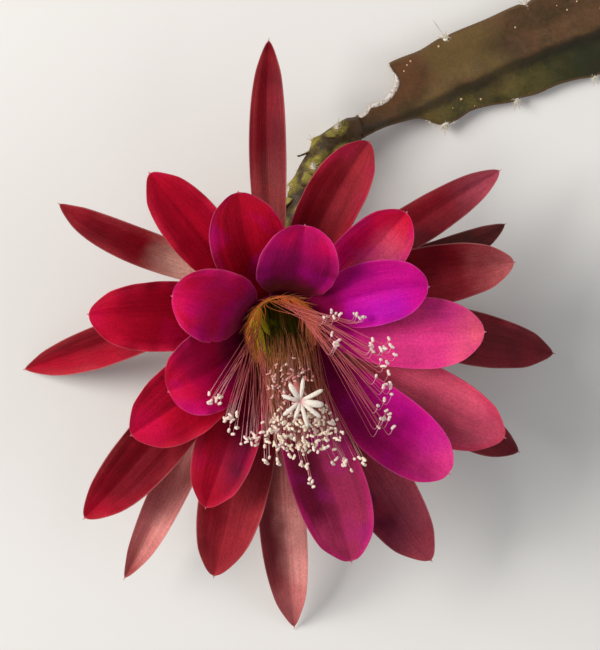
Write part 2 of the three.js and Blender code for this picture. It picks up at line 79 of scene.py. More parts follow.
# %% Measure where the bloom's axis stands in the frame
tube_points = MM * np.array([v.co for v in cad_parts["floral_tube"].data.vertices])
rim_points = tube_points[tube_points[:, 2] > RIM_HEIGHT - 0.2]
rim_middle = (rim_points.min(axis=0) + rim_points.max(axis=0)) / 2
BLOOM_AXIS = np.array([rim_middle[0], rim_middle[1], 0.0])
print("bloom axis at", BLOOM_AXIS.round(3), "mm, rim", np.ptp(rim_points[:, 0]).round(2), "mm wide")

# %% [markdown]
# ## Small tools for shapes
# Plants are made of blades and rods that follow curves. A cubic curve with two handles gives both:
# the first handle says how the piece leaves its stalk, and the second how it arrives at its tip.
# Whole arrays of points go through numpy at once, so even fine meshes are made in a moment.

# %% Directions, soft steps and curves
def direction(azimuth, rise):
    """The unit vector at an azimuth and a rise above the table, in degrees."""
    a, e = math.radians(azimuth), math.radians(rise)
    return np.array([math.cos(e) * math.cos(a), math.cos(e) * math.sin(a), math.sin(e)])


def unit(v):
    return v / np.linalg.norm(v, axis=-1, keepdims=True)


def smooth(x, low=0.0, high=1.0):
    """A soft step from 0 at low to 1 at high."""
    t = np.clip((x - low) / (high - low), 0, 1)
    return t * t * (3 - 2 * t)


def bell(x, middle, width):
    return np.exp(-(((x - middle) / width) ** 2))


def turn_from(azimuth, middle):
    """How far an azimuth lies from another one, from -180 to 180 degrees."""
    return (azimuth - middle + 180) % 360 - 180


def bezier(control, t):
    """Points and unit tangents of the cubic curve with these four control points, at each t."""
    a, b, c, d = (np.asarray(p, float) for p in control)
    t = np.asarray(t, float)[..., None]
    s = 1 - t
    points = s**3 * a + 3 * s * s * t * b + 3 * s * t * t * c + t**3 * d
    tangents = 3 * s * s * (b - a) + 6 * s * t * (c - b) + 3 * t * t * (d - c)
    return points, unit(tangents)


def through(knots, s):
    """The value at s of the smooth curve through (place, value) knots."""
    x, y = np.array(knots, float).T
    s = np.asarray(s, float)
    i = np.clip(np.searchsorted(x[1:-1], s), 0, len(x) - 2)
    before, after = np.maximum(np.arange(len(x)) - 1, 0), np.minimum(np.arange(len(x)) + 1, len(x) - 1)
    slope = (y[after] - y[before]) / (x[after] - x[before])
    h = x[i + 1] - x[i]
    t = (s - x[i]) / h
    held = y[i] * (1 + 2 * t) * (1 - t) ** 2 + y[i + 1] * t * t * (3 - 2 * t)
    return held + h * slope[i] * t * (1 - t) ** 2 - h * slope[i + 1] * t * t * (1 - t)


# %% Faces between rows of points
def strip_faces(rows, across, around=False, start=0):
    """Quads between neighbouring rows of points; around=True closes each row into a ring."""
    i, j = np.meshgrid(np.arange(rows - 1), np.arange(across if around else across - 1), indexing="ij")
    k = (j + 1) % across
    quads = np.stack([i * across + j, i * across + k, (i + 1) * across + k, (i + 1) * across + j], -1)
    return (quads.reshape(-1, 4) + start).tolist()


def fan_faces(ring, middle, forward):
    """Triangles from a ring of point numbers to one point in its middle."""
    pairs = zip(ring, ring[1:] + ring[:1])
    return [(a, b, middle) if forward else (b, a, middle) for a, b in pairs]


# %% A heap of small bodies
class Heap:
    """Gathers many small bodies into the points, faces and features of one piece."""

    def __init__(self):
        self.points, self.faces, self.finish, self.features, self.count = [], [], [], {}, 0

    def add(self, points, faces, finish=0, **features):
        self.points.append(points)
        self.faces += [[i + self.count for i in face] for face in faces]
        self.finish += [finish] * len(faces)
        for name, values in features.items():
            filled = np.broadcast_to(np.asarray(values, float), len(points))
            self.features.setdefault(name, []).append(filled)
        self.count += len(points)


# %% Closed rods
def closed_rod(line, reach):
    """A closed body along a line; reach holds the way from each of its points to that ring's points."""
    rows, sides = reach.shape[:2]
    rings = (line[:, None] + reach).reshape(-1, 3)
    points = np.vstack([rings, line[:1], line[-1:]])
    faces = strip_faces(rows, sides, around=True)
    faces += fan_faces(list(range(sides)), len(rings), forward=False)
    faces += fan_faces(list(range(len(rings) - sides, len(rings))), len(rings) + 1, forward=True)
    return points, faces


def along_rod(values, sides):
    """One value for each point of a closed rod, from one for each of its rings."""
    return np.append(np.repeat(values, sides), [values[0], values[-1]])


def rod(line, radii, sides):
    """A closed round rod through the points of a line."""
    line, radii = np.asarray(line, float), np.asarray(radii, float)
    along = unit(np.gradient(line, axis=0))
    level = np.linalg.svd(line - line.mean(axis=0))[2][2]
    side = unit(level - (along @ level)[:, None] * along)
    other = np.cross(along, side)
    angle = 2 * np.pi * np.arange(sides) / sides
    reach = np.cos(angle)[:, None] * side[:, None] + np.sin(angle)[:, None] * other[:, None]
    return closed_rod(line, radii[:, None, None] * reach)


# %% Turn points and faces into a piece that rides on the frame
PIECES = []


def piece(name, points, faces, materials, replaces, features=None, finish=None, uv=None):
    """A smooth mesh piece, in millimetres round the bloom's axis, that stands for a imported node."""
    mesh = bpy.data.meshes.new(name)
    mesh.from_pydata(((np.asarray(points) + BLOOM_AXIS) / MM).tolist(), [], faces)
    for material in materials:
        mesh.materials.append(material)
    if finish is not None:
        mesh.polygons.foreach_set("material_index", finish)
    mesh.polygons.foreach_set("use_smooth", [True] * len(mesh.polygons))
    for feature, values in (features or {}).items():
        attribute = mesh.attributes.new(feature, "FLOAT", "POINT")
        attribute.data.foreach_set("value", np.asarray(values, float).ravel())
    if uv is not None:
        corner = np.empty(len(mesh.loops), int)
        mesh.loops.foreach_get("vertex_index", corner)
        mesh.uv_layers.new(name="UVMap").data.foreach_set("uv", np.asarray(uv)[corner].ravel())
    mesh.update()
    made = bpy.data.objects.new(name, mesh)
    bpy.context.scene.collection.objects.link(made)
    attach(made, "root")
    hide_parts(replaces)
    PIECES.append(made)
    return made


def heap_piece(name, heap, materials, replaces, uv=None):
    features = {key: np.concatenate(values) for key, values in heap.features.items()}
    points = np.vstack(heap.points)
    return piece(name, points, heap.faces, materials, replaces, features, heap.finish, uv)


# %% [markdown]
# ## Small tools for materials
# A material here is a Principled shader fed by a few effects. An effect that several finishes share,
# such as the cells of plant skin, is a node group: it takes named values and gives out a colour, a
# brightness or a height, so one group can be fine on a tepal and coarse on the stem.

# %% A colour and a node
def colour(code):
    """The linear colour of a hex code as it is seen on a screen."""
    parts = [int(code[i : i + 2], 16) / 255 for i in (0, 2, 4)]
    linear = [c / 12.92 if c <= 0.04045 else ((c + 0.055) / 1.055) ** 2.4 for c in parts]
    return (*linear, 1.0)


def node(tree, kind, inputs=None, **settings):
    """A new node; each input is a value, or another node's output to be linked."""
    made = tree.nodes.new(kind)
    for key, value in settings.items():
        setattr(made, key, value)
    for key, value in (inputs or {}).items():
        socket = made.inputs[key]
        if isinstance(value, bpy.types.NodeSocket):
            tree.links.new(value, socket)
        else:
            socket.default_value = value
    return made


# %% Sums of what nodes put out
def maths(tree, operation, first, second=0.0):
    return node(tree, "ShaderNodeMath", {0: first, 1: second}, operation=operation).outputs[0]


def plus(tree, first, second):
    return maths(tree, "ADD", first, second)


def minus(tree, first, second):
    return maths(tree, "SUBTRACT", first, second)


def times(tree, first, second):
    return maths(tree, "MULTIPLY", first, second)


def scaled(tree, value, start, gain):
    """The number start + gain * value."""
    return plus(tree, start, times(tree, value, gain))


# %% Mixed and stepped tints
def mix(tree, share, first, second, blend_type="MIX"):
    sockets = {0: share, 6: first, 7: second}
    return node(tree, "ShaderNodeMix", sockets, data_type="RGBA", blend_type=blend_type).outputs[2]


def wash(tree, under, share, strength, over):
    """A colour with another one laid over it, by a share times a strength."""
    return mix(tree, times(tree, share, strength), under, over)


def step(tree, value, low, high):
    """A soft step of a value from 0 at low to 1 at high; low may be the larger of the two."""
    up = low < high
    sockets = {"Value": value, "From Min": min(low, high), "From Max": max(low, high)}
    sockets.update({"To Min": 0.0 if up else 1.0, "To Max": 1.0 if up else 0.0})
    made = node(tree, "ShaderNodeMapRange", sockets, interpolation_type="SMOOTHSTEP")
    return made.outputs["Result"]


def layers(tree, value, tint, steps):
    """A tint that gives way to others where a value passes their steps: low, high and hex code."""
    for low, high, code in steps:
        tint = mix(tree, step(tree, value, low, high), tint, colour(code))
    return tint


# %% Patterns, brightness and places
def noise(tree, vector, scale, detail=2.0, roughness=0.5):
    sockets = {"Vector": vector, "Scale": scale, "Detail": detail, "Roughness": roughness}
    return node(tree, "ShaderNodeTexNoise", sockets).outputs[0]


def brighten(tree, tint, factor):
    """A colour multiplied by one number."""
    return node(tree, "ShaderNodeVectorMath", {0: tint, "Scale": factor}, operation="SCALE").outputs[0]


def place_of(tree):
    return node(tree, "ShaderNodeTexCoord").outputs["Object"]


def place_on_blade(tree):
    """The place on a sheet: 0 runs from edge to edge, 1 from foot to tip."""
    uv = node(tree, "ShaderNodeUVMap", uv_map="UVMap").outputs[0]
    return node(tree, "ShaderNodeSeparateXYZ", {0: uv}).outputs


def feature_of(tree, name):
    return node(tree, "ShaderNodeAttribute", attribute_name=name).outputs["Fac"]


def speckle(tree, scale, detail=2.0, roughness=0.5):
    """Noise in the piece's own space; the scale is per metre."""
    return noise(tree, place_of(tree), scale, detail, roughness)


def from_cell(tree, scale):
    """The distance from the middle of the nearest cell, where the scale is cells per metre."""
    sockets = {"Vector": place_of(tree), "Scale": scale}
    return node(tree, "ShaderNodeTexVoronoi", sockets, feature="F1").outputs["Distance"]


# %% Groups and materials
def new_group(name, inputs, outputs):
    """An empty shader group with named sockets, and its inner ends."""
    tree = bpy.data.node_groups.new(name, "ShaderNodeTree")
    for label, kind, value in inputs:
        socket = tree.interface.new_socket(label, in_out="INPUT", socket_type=kind)
        socket.default_value = value
    for label, kind in outputs:
        tree.interface.new_socket(label, in_out="OUTPUT", socket_type=kind)
    return tree, tree.nodes.new("NodeGroupInput").outputs, tree.nodes.new("NodeGroupOutput").inputs


def use_group(tree, group, inputs):
    return node(tree, "ShaderNodeGroup", inputs, node_tree=group).outputs


def new_material(name, **constants):
    """A material with its Principled shader; the constants go on the shader's own sockets."""
    material = bpy.data.materials.new(name)
    material.use_nodes = True
    shader = material.node_tree.nodes["Principled BSDF"]
    for label, value in constants.items():
        shader.inputs[label.replace("_", " ").title().replace("Ior", "IOR")].default_value = value
    return material, material.node_tree, shader.inputs


def bump(tree, height, distance_mm, strength=1.0):
    sockets = {"Height": height, "Distance": distance_mm / MM, "Strength": strength}
    return node(tree, "ShaderNodeBump", sockets).outputs[0]


FLOAT, TINT = "NodeSocketFloat", "NodeSocketColor"

# %% [markdown]
# ## Shared effects: cells, streaks and mottling
# Seen close up, petal skin is a carpet of tiny domed cells, crossed by fine veins that run from foot
# to tip. Stem skin has the same cells, larger and flatter, under a patchy wax. A Voronoi pattern
# gives the cells, whose lighter middles and noisy glints are painted highlights, noise stretched
# along the blade gives the veins, and two sizes of plain noise give the patches.

# %% Group: skin cells
cells_group, given, result = new_group(
    "Skin cells",
    [("Size per Metre", FLOAT, 2600.0), ("Strength", FLOAT, 0.2)],
    [("Light", FLOAT), ("Height", FLOAT)],
)
tree = cells_group
# Painted highlights: the lighter middle of each cell and glints of noise lift the colour through Light;
# Height is the cells' own relief.
dome_height = minus(tree, 0.5, from_cell(tree, given["Size per Metre"]))
painted_sparkle = times(tree, minus(tree, speckle(tree, 1300.0, 3.0, 0.7), 0.5), 1.6)
swing = times(tree, plus(tree, dome_height, painted_sparkle), given["Strength"])
tree.links.new(plus(tree, 1.0, swing), result["Light"])
tree.links.new(dome_height, result["Height"])


def skin_cells(tree, size, strength):
    return use_group(tree, cells_group, {"Size per Metre": size, "Strength": strength})


print("group:", cells_group.name, "with", len(cells_group.nodes), "nodes")


# %% Group: streaks from foot to tip
streaks_group, given, result = new_group(
    "Streaks from foot to tip",
    [("Count", FLOAT, 40.0), ("Strength", FLOAT, 0.2)],
    [("Light", FLOAT), ("Height", FLOAT)],
)
tree = streaks_group
flat = place_on_blade(tree)
height_above = node(tree, "ShaderNodeSeparateXYZ", {0: place_of(tree)}).outputs[2]
own_pattern = times(tree, height_above, 25.0)
across_wide = times(tree, flat[0], given["Count"])


def drawn_out(tree, across, along):
    """Noise round 0 that is drawn out along the blade."""
    place = node(tree, "ShaderNodeCombineXYZ", {0: across, 1: along, 2: own_pattern}).outputs[0]
    return minus(tree, noise(tree, place, 1.0, 2.0, 0.6), 0.5)


broad = drawn_out(tree, across_wide, times(tree, flat[1], 2.4))
fine = drawn_out(tree, times(tree, across_wide, 3.1), times(tree, flat[1], 7.0))
streak = plus(tree, times(tree, broad, 1.5), times(tree, fine, 1.1))
tree.links.new(scaled(tree, streak, 1.0, given["Strength"]), result["Light"])
tree.links.new(streak, result["Height"])


def skin_streaks(tree, count, strength):
    return use_group(tree, streaks_group, {"Count": count, "Strength": strength})


print("group:", streaks_group.name, "with", len(streaks_group.nodes), "nodes")


# %% Group: mottling of two tints
mottle_group, given, result = new_group(
    "Mottling",
    [
        ("First Tint", TINT, (0, 0, 0, 1)),
        ("Second Tint", TINT, (1, 1, 1, 1)),
        ("Size per Metre", FLOAT, 150.0),
    ],
    [("Color", TINT), ("Height", FLOAT)],
)
tree = mottle_group
patches = speckle(tree, given["Size per Metre"], 4.0, 0.6)
small = speckle(tree, times(tree, given["Size per Metre"], 7.0), 3.0, 0.6)
patchy = plus(tree, times(tree, patches, 0.7), times(tree, small, 0.3))
share = step(tree, patchy, 0.35, 0.67)
tree.links.new(mix(tree, share, given["First Tint"], given["Second Tint"]), result["Color"])
tree.links.new(patchy, result["Height"])


def mottle(tree, first, second, size):
    """Patches of two tints, given as hex codes."""
    sockets = {"First Tint": colour(first), "Second Tint": colour(second), "Size per Metre": size}
    return use_group(tree, mottle_group, sockets)


print("groups:", [g.name for g in bpy.data.node_groups])

# %% [markdown]
# ## The colours of a tepal
# A tepal isn't one red. Its foot is tan or magenta, its two halves differ on either side of the
# midrib, partly in hue and partly by painted shade, its tip is redder, a pale line runs round its
# margin, partly its own paler rim and partly a painted highlight, patches near the margin carry a
# painted highlight, and it ends in a small dry point. One group mixes all of that from the tepal's
# own coordinates (u from foot to tip, v from edge to edge), and each tepal gives it its own four
# colours.

# %% Group: tepal colours
tepal_group, given, result = new_group(
    "Tepal colours",
    [
        ("Foot", TINT, (0.5, 0.2, 0.1, 1)),
        ("Left", TINT, (0.5, 0, 0, 1)),
        ("Right", TINT, (0.5, 0, 0, 1)),
        ("Tip", TINT, (0.5, 0, 0, 1)),
        ("Margin", TINT, (0.9, 0.5, 0.5, 1)),
        ("Back", TINT, (0.4, 0.1, 0.1, 1)),
        ("Flush", TINT, (0.5, 0.0, 0.3, 1)),
        ("Lit Edge", TINT, (0.8, 0.1, 0.3, 1)),
        ("Streaks", FLOAT, 0.3),
        ("Cells", FLOAT, 0.2),
        ("Foot Reach", FLOAT, 0.35),
        ("Midrib", FLOAT, 0.2),
        ("Pale Edge", FLOAT, 0.2),
        ("Flush Share", FLOAT, 0.3),
        ("Lit Share", FLOAT, 0.4),
    ],
    [("Color", TINT), ("Roughness", FLOAT), ("Height", FLOAT)],
)
tree = tepal_group
flat = place_on_blade(tree)
drift = minus(tree, speckle(tree, 130.0, 3.0), 0.5)
slow_drift = minus(tree, speckle(tree, 70.0, 3.0), 0.5)
across = plus(tree, flat[0], times(tree, drift, 0.3))
along = plus(tree, flat[1], times(tree, slow_drift, 0.3))
# The two halves meet softly at the midrib; their difference is partly hue and partly painted shade.
body = mix(tree, step(tree, across, 0.22, 0.78), given["Right"], given["Left"])
foot_share = maths(tree, "DIVIDE", along, given["Foot Reach"])
body = mix(tree, step(tree, foot_share, 1.2, 0.45), body, given["Foot"])
body = mix(tree, step(tree, along, 0.7, 0.99), body, given["Tip"])
off_foot = step(tree, flat[1], 0.1, 0.4)
patch = times(tree, step(tree, speckle(tree, 85.0, 1.0), 0.46, 0.64), off_foot)
body = wash(tree, body, patch, given["Flush Share"], given["Flush"])
from_margin = feature_of(tree, "from_margin")
# Painted highlight: patches near the margin are lifted towards the Lit Edge tint.
near_edge = times(tree, step(tree, from_margin, 3.2, 0.2), off_foot)
lit_patch = times(tree, near_edge, step(tree, speckle(tree, 60.0, 1.0), 0.3, 0.6))
body = wash(tree, body, lit_patch, given["Lit Share"], given["Lit Edge"])
streaks = skin_streaks(tree, 34.0, given["Streaks"])
cells = skin_cells(tree, 3400.0, given["Cells"])
body = brighten(tree, body, times(tree, streaks["Light"], cells["Light"]))
body = brighten(tree, body, scaled(tree, slow_drift, 1.0, 0.7))
off_middle = maths(tree, "ABSOLUTE", minus(tree, flat[0], 0.5))
midrib = step(tree, off_middle, 0.03, 0.0)
body = wash(tree, body, midrib, given["Midrib"], brighten(tree, body, 0.45))
body = wash(tree, body, feature_of(tree, "underside"), 0.55, given["Back"])
# The pale line round the margin is partly the tepal's own paler rim and partly a painted highlight; the
# dry point at the tip is its own colour.
body = wash(tree, body, step(tree, from_margin, 0.4, 0.0), given["Pale Edge"], given["Margin"])
body = wash(tree, body, step(tree, flat[1], 0.975, 1.0), 0.6, given["Margin"])
tree.links.new(body, result["Color"])
tree.links.new(scaled(tree, drift, 0.44, 0.25), result["Roughness"])
relief = plus(tree, streaks["Height"], times(tree, cells["Height"], 0.5))
tree.links.new(relief, result["Height"])
print("group:", tepal_group.name, "with", len(tepal_group.nodes), "nodes")


# %% A material for each tepal
def tepal_material(name, colours, kind):
    """A tepal's skin from its own four colours and the finish that its kind shares."""
    tints = dict(zip(("Foot", "Left", "Right", "Tip"), colours), **kind["tints"])
    material, tree, shader = new_material(
        name,
        specular_ior_level=kind["gloss"],
        specular_tint=colour("ff8ca8"),
        subsurface_weight=0.12,
        subsurface_scale=0.0012,
        subsurface_radius=(1.0, 0.35, 0.4),
    )
    inputs = {label: colour(code) for label, code in tints.items()}
    skin = use_group(tree, tepal_group, {**inputs, **kind["shares"]})
    tree.links.new(skin["Color"], shader["Base Color"])
    tree.links.new(skin["Roughness"], shader["Roughness"])
    tree.links.new(bump(tree, skin["Height"], 0.2, 0.6), shader["Normal"])
    return material


# %% [markdown]
# ## The floral tube's own shape
# The flower of an orchid cactus stands on a long tube that flares into the throat and swells a
# little round the ovary. Its axis drops straight from the rim and bends along the table to the stem.
# The tepals, the stamens and the scales all take their feet from this one shape.

# %% Axis and radius of the tube
TUBE_AXIS = [
    np.array([0.0, 0.0, RIM_HEIGHT]),
    np.array([0.0, 0.0, 2.0]),
    STEM_JOINT - STEM_RUN * direction(STEM_TURN, 0),
    STEM_JOINT,
]


def tube_radius(t):
    flare = np.exp(-((np.maximum(t, 0) / 0.28) ** 1.8))
    return NECK_RADIUS + (RIM_RADIUS - NECK_RADIUS) * flare + OVARY_SWELLING * bell(t, 0.72, 0.14)


def throat_radius(t):
    """Inside radius: the wall thins out to a fine edge at the rim."""
    wall = RIM_WALL + (DEEP_WALL - RIM_WALL) * t / THROAT_FLOOR
    return tube_radius(t) - wall * (0.2 + 0.8 * smooth(t, 0, 0.05))


def round_tube(t, azimuth, radius):
    """Points round the tube's axis, with the outward and the along direction at each."""
    middle, along = bezier(TUBE_AXIS, t)
    side = unit(np.array([1.0, 0, 0]) - along[..., :1] * along)
    other = np.cross(side, along)
    a = np.radians(azimuth)[..., None] if np.ndim(azimuth) else math.radians(azimuth)
    outward = np.cos(a) * side + np.sin(a) * other
    return middle + np.asarray(radius)[..., None] * outward, outward, along


print("tube", round(2 * float(tube_radius(0.5)), 1), "mm thick half way along")


# %% [markdown]
# ## The tepals
# Each tepal is a spoon: a narrow foot that hugs the tube, a blade that is cupped along its length, a
# blunt end and a dry point. It could be sculpted by hand 28 times, but a sheet that is worked out
# from a midline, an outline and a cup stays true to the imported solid, and a little fold, a wavy
# margin and a groove along the midrib make each one its own.

# %% Whorls and tepals
Whorl = namedtuple("Whorl", "foot widest blunt rise cup keel pinch sharp")
WHORLS = {
    "crown": Whorl(0.4, 0.62, 0.5, (66, 4), (24, 40), 0.03, 0.05, 0.35),
    "inner": Whorl(0.4, 0.62, 0.5, (56, 8), (24, 36), 0.03, 0.07, 0.45),
    "middle": Whorl(0.44, 0.6, 0.54, (46, -4), (24, 34), 0.06, 0.12, 0.6),
    "outer": Whorl(0.48, 0.56, 0.6, (34, -14), (26, 34), 0.07, 0.16, 0.45),
    "lowest": Whorl(0.52, 0.54, 0.7, (24, -32), (30, 34), 0.13, 0.22, 0.6),
}
Tepal = namedtuple("Tepal", "name whorl at foot tip width turn rise nearer", defaults=(0, None, 0))
TEPALS = [
    Tepal("inner_tepal_1", "inner", 0.05, 2, (1.8, 55.7, 58), 21),
    Tepal("inner_tepal_2", "crown", 0.008, 34, (21.5, 42, 64), 19, -18),
    Tepal("inner_tepal_3", "inner", 0.062, 42, (46, 48.8, 54), 19, 4),
    Tepal("inner_tepal_4", "crown", 0.014, 84, (82.5, 33.8, 68), 23, 0, (74, -22)),
    Tepal("inner_tepal_5", "inner", 0.05, 113, (107.6, 44.2, 62), 22, -10, (56, -4)),
    Tepal("inner_tepal_6", "crown", 0.014, 150, (156, 35, 68), 21.5, 14, (74, -20)),
    Tepal("inner_tepal_7", "inner", 0.05, 200, (202, 35.5, 62), 24, 0, (66, -16)),
    Tepal("inner_tepal_8", "inner", 0.05, 281, (286.3, 68.3, 50), 21.5, -6, (48, 4)),
    Tepal("inner_tepal_9", "crown", 0.008, 318, (320, 60, 58), 20.5, 0, (46, 0)),
    Tepal("middle_tepal_1", "middle", 0.1, 74, (66, 59.4, 48), 17, -12),
    Tepal("middle_tepal_2", "middle", 0.095, 131, (129, 59.5, 50), 17),
    Tepal("middle_tepal_3", "middle", 0.124, 171, (173, 55.3, 50), 20.5),
    Tepal("middle_tepal_4", "middle", 0.088, 212, (212, 51, 54), 22),
    Tepal("middle_tepal_5", "middle", 0.126, 241, (245.6, 54, 50), 18.2, 4),
    Tepal("middle_tepal_6", "middle", 0.1, 334, (334, 70.6, 46), 21),
    Tepal("outer_tepal_1", "outer", 0.15, 22, (15.4, 69.4, 38), 18, -8),
    Tepal("outer_tepal_2", "lowest", 0.265, 15, (21.8, 72.5, 16), 10, 8, None, 0.65),
    Tepal("outer_tepal_3", "outer", 0.19, 39, (35.5, 77, 36), 12.5, -3, None, 0.6),
    Tepal("outer_tepal_4", "outer", 0.157, 99, (92, 81.8, 30), 10.8, -5, None, 0.65),
    Tepal("outer_tepal_5", "lowest", 0.225, 154, (150.4, 72.2, 30), 11, -9, None, 0.7),
    Tepal("outer_tepal_6", "lowest", 0.25, 190, (193.2, 76.2, 0.3), 13),
    Tepal("outer_tepal_7", "outer", 0.195, 222, (224, 79, 36), 18),
    Tepal("outer_tepal_8", "lowest", 0.258, 235, (239.7, 89.7, 18), 11.5, 2),
    Tepal("outer_tepal_9", "outer", 0.15, 252, (255, 75.3, 36), 20, 4),
    Tepal("outer_tepal_10", "lowest", 0.214, 267, (273.8, 98.4, 0.3), 14.5, 5),
    Tepal("outer_tepal_11", "outer", 0.178, 297, (302.3, 83.6, 30), 20, 4),
    Tepal("outer_tepal_12", "lowest", 0.235, 324, (330.2, 83.3, 16), 15.5, 4, None, -0.3),
    Tepal("outer_tepal_13", "lowest", 0.208, 355, (351.2, 84.3, 10), 16.5),
]
print("tepals in each whorl:", {name: sum(t.whorl == name for t in TEPALS) for name in WHORLS})


# %% The outline of a tepal
def tepal_outline(u, whorl, sharp):
    """Half the width at u as a share of the widest: a narrow foot, a shouldered end, a point."""
    foot_part = whorl.foot + (1 - whorl.foot) * smooth(u / whorl.widest) ** 0.58
    end = np.clip((u - whorl.widest) / (1 - whorl.widest), 0, 1)
    round_end = np.clip(1 - (end / 0.965) ** 2.3, 0, 1) ** whorl.blunt
    round_end = round_end * (1 - sharp * smooth(end, 0.66, 0.95))
    point = 0.085 * np.minimum(1, (1 - end) / 0.14)
    return np.where(u < whorl.widest, foot_part, (round_end**3 + point**3) ** (1 / 3))


# %% The sheet of a tepal
Own = namedtuple("Own", "waves phase skew sharp arch folds")
FOLD_COUNTS = (2, 3.5, 6, 10)  # about how many folds of each size cross a blade
FOLD_DEPTH = 0.026  # these two depths are shares of half the width
RIPPLE_DEPTH = 0.07


def tepal_sheet(tepal, u, v, own):
    """Points and normals of a tepal's middle sheet on a grid of u and v, and half its width."""
    whorl = WHORLS[tepal.whorl]
    rise = tepal.rise or whorl.rise
    foot_radius = tube_radius(tepal.at) + BLADE / 2 + FOOT_GAP + LEAN_GAP * tepal.at - tepal.nearer
    root = round_tube(tepal.at, tepal.foot, foot_radius)[0]
    azimuth, reach, height = tepal.tip
    end = direction(azimuth, 0) * reach + UP * height
    length = np.linalg.norm(end - root)
    heading = math.degrees(math.atan2(end[1] - root[1], end[0] - root[0]))
    handles = [
        root,
        root + direction(tepal.foot, rise[0]) * length * FOOT_HOLD,
        end - direction(heading + tepal.turn, rise[1]) * length * TIP_HOLD,
        end,
    ]
    middle, along = bezier(handles, u)
    side = unit(np.cross(UP, along))
    up = np.cross(along, side)
    half = tepal.width / 2 * tepal_outline(u, whorl, own.sharp)
    hug = math.asin(min(0.9, whorl.foot * tepal.width / 2 / foot_radius))
    cup = np.radians(np.interp(u, [0, 0.45, 1], [math.degrees(hug), *whorl.cup]))
    u, half, cup = u[:, None], half[:, None], cup[:, None]
    half = half * (1 + own.skew * np.tanh(2 * v) * smooth(u, 0.1, 0.5))
    fold = whorl.keel + whorl.pinch * smooth(u, 0.72, 0.97)
    soft_v = np.sqrt(v**2 + 0.14) - math.sqrt(0.14)
    lift = half * (1 - np.cos(cup * v)) / cup + fold * half * soft_v
    lift = lift + own.arch * half * np.sin(np.pi * np.abs(v) ** 0.85) * smooth(u, 0.05, 0.4)
    side_phase = own.phase + 0.3 * np.sign(v)
    ripple = np.sin(2 * np.pi * (own.waves * u + side_phase))
    ripple = ripple + 0.35 * np.sin(2 * np.pi * (3.3 * own.waves * u + 2 * side_phase))
    lift = lift + RIPPLE_DEPTH * half * np.abs(v) ** 3 * ripple * smooth(u, 0.15, 0.5)
    for count, start, drift in own.folds:
        swing = np.sin(2 * np.pi * (count * v / 2 + start + drift * u))
        fold_lift = FOLD_DEPTH / count * half * swing * smooth(u, 0.05, 0.35)
        lift = lift + fold_lift * (1 - smooth(u, 0.85, 1.0))
    points = (
        middle[:, None]
        + (half * np.sin(cup * v) / cup)[..., None] * side[:, None]
        + lift[..., None] * up[:, None]
    )
    normals = np.cos(cup * v)[..., None] * up[:, None] - np.sin(cup * v)[..., None] * side[:, None]
    return points, normals, half


# %% The closed blade of a tepal
ROWS = np.concatenate([np.linspace(0, 0.84, 34), np.linspace(0.86, 0.994, 20)])
COLUMNS = np.sin(np.linspace(-1, 1, 43) * np.pi / 2)
FOOT_STEPS = [(1.6, 0.8), (0.8, 0.5)]  # how far in and down the foot runs on into the tube
EDGE_THICK, MIDDLE_THICK = 0.24, 0.3  # at the margin, and how much more in the middle
GROOVE_DEPTH, RIB_DEPTH = 0.06, 0.35  # along the midrib, above and below
print("a blade has", len(ROWS), "rows of", len(COLUMNS), "points on each face")


def tepal_blade(tepal, own):
    """Points, faces, coordinates and features of a closed blade with a grooved face."""
    u, v = ROWS, COLUMNS
    points, normals, half = tepal_sheet(tepal, u, v, own)
    inward = -direction(tepal.foot, 0)
    ahead = [points[0] + inward * into - UP * down for into, down in FOOT_STEPS]
    points = np.concatenate([ahead, points])
    normals = np.concatenate([normals[:1], normals[:1], normals])
    half = np.concatenate([half[:1], half[:1], half])
    u = np.concatenate([[-0.02, -0.01], u])
    body = 1 - smooth(u, 0.75, 1.0)[:, None] * 0.45
    thick = (EDGE_THICK + MIDDLE_THICK * (1 - np.abs(v) ** 2.5)) * body
    groove = GROOVE_DEPTH * np.exp(-((half * v / 0.8) ** 2)) * smooth(u, 0.0, 0.2)[:, None]
    rib = RIB_DEPTH * np.exp(-((half * v / 0.9) ** 2)) * (1 - smooth(u, 0.1, 0.9))[:, None]
    face = points + (thick / 2 - groove)[..., None] * normals
    back = points - (thick / 2 + rib)[..., None] * normals
    rows, across = face.shape[:2]
    tip = tepal_sheet(tepal, np.array([1.0]), np.array([0.0]), own)[0][0]
    everything = np.vstack([face.reshape(-1, 3), back.reshape(-1, 3), tip])
    under, last = rows * across, (rows - 1) * across
    over_faces = [[a, d, c, b] for a, b, c, d in strip_faces(rows, across)]
    back_faces = strip_faces(rows, across, start=under)
    for i in range(rows - 1):
        a, b = i * across, (i + 1) * across
        over_faces.append([a, under + a, under + b, b])
        over_faces.append([b - 1 + across, under + b - 1 + across, under + b - 1, b - 1])
    for j in range(across - 1):
        over_faces.append([j, j + 1, under + j + 1, under + j])
        over_faces.append([last + j, 2 * under, last + j + 1])
        back_faces.append([under + last + j + 1, 2 * under, under + last + j])
    over_faces.append([last, under + last, 2 * under])
    over_faces.append([last + across - 1, 2 * under, under + last + across - 1])
    place = np.stack(np.broadcast_arrays((v[None] + 1) / 2, u[:, None]), -1).reshape(-1, 2)
    margin = (half * (1 - np.abs(v))).ravel()
    uv = np.vstack([place, place, [[0.5, 1.0]]])
    features = {
        "from_margin": np.concatenate([margin, margin, [0.0]]),
        "underside": np.concatenate([np.zeros(under), np.ones(under), [0.5]]),
    }
    return everything, over_faces + back_faces, uv, features
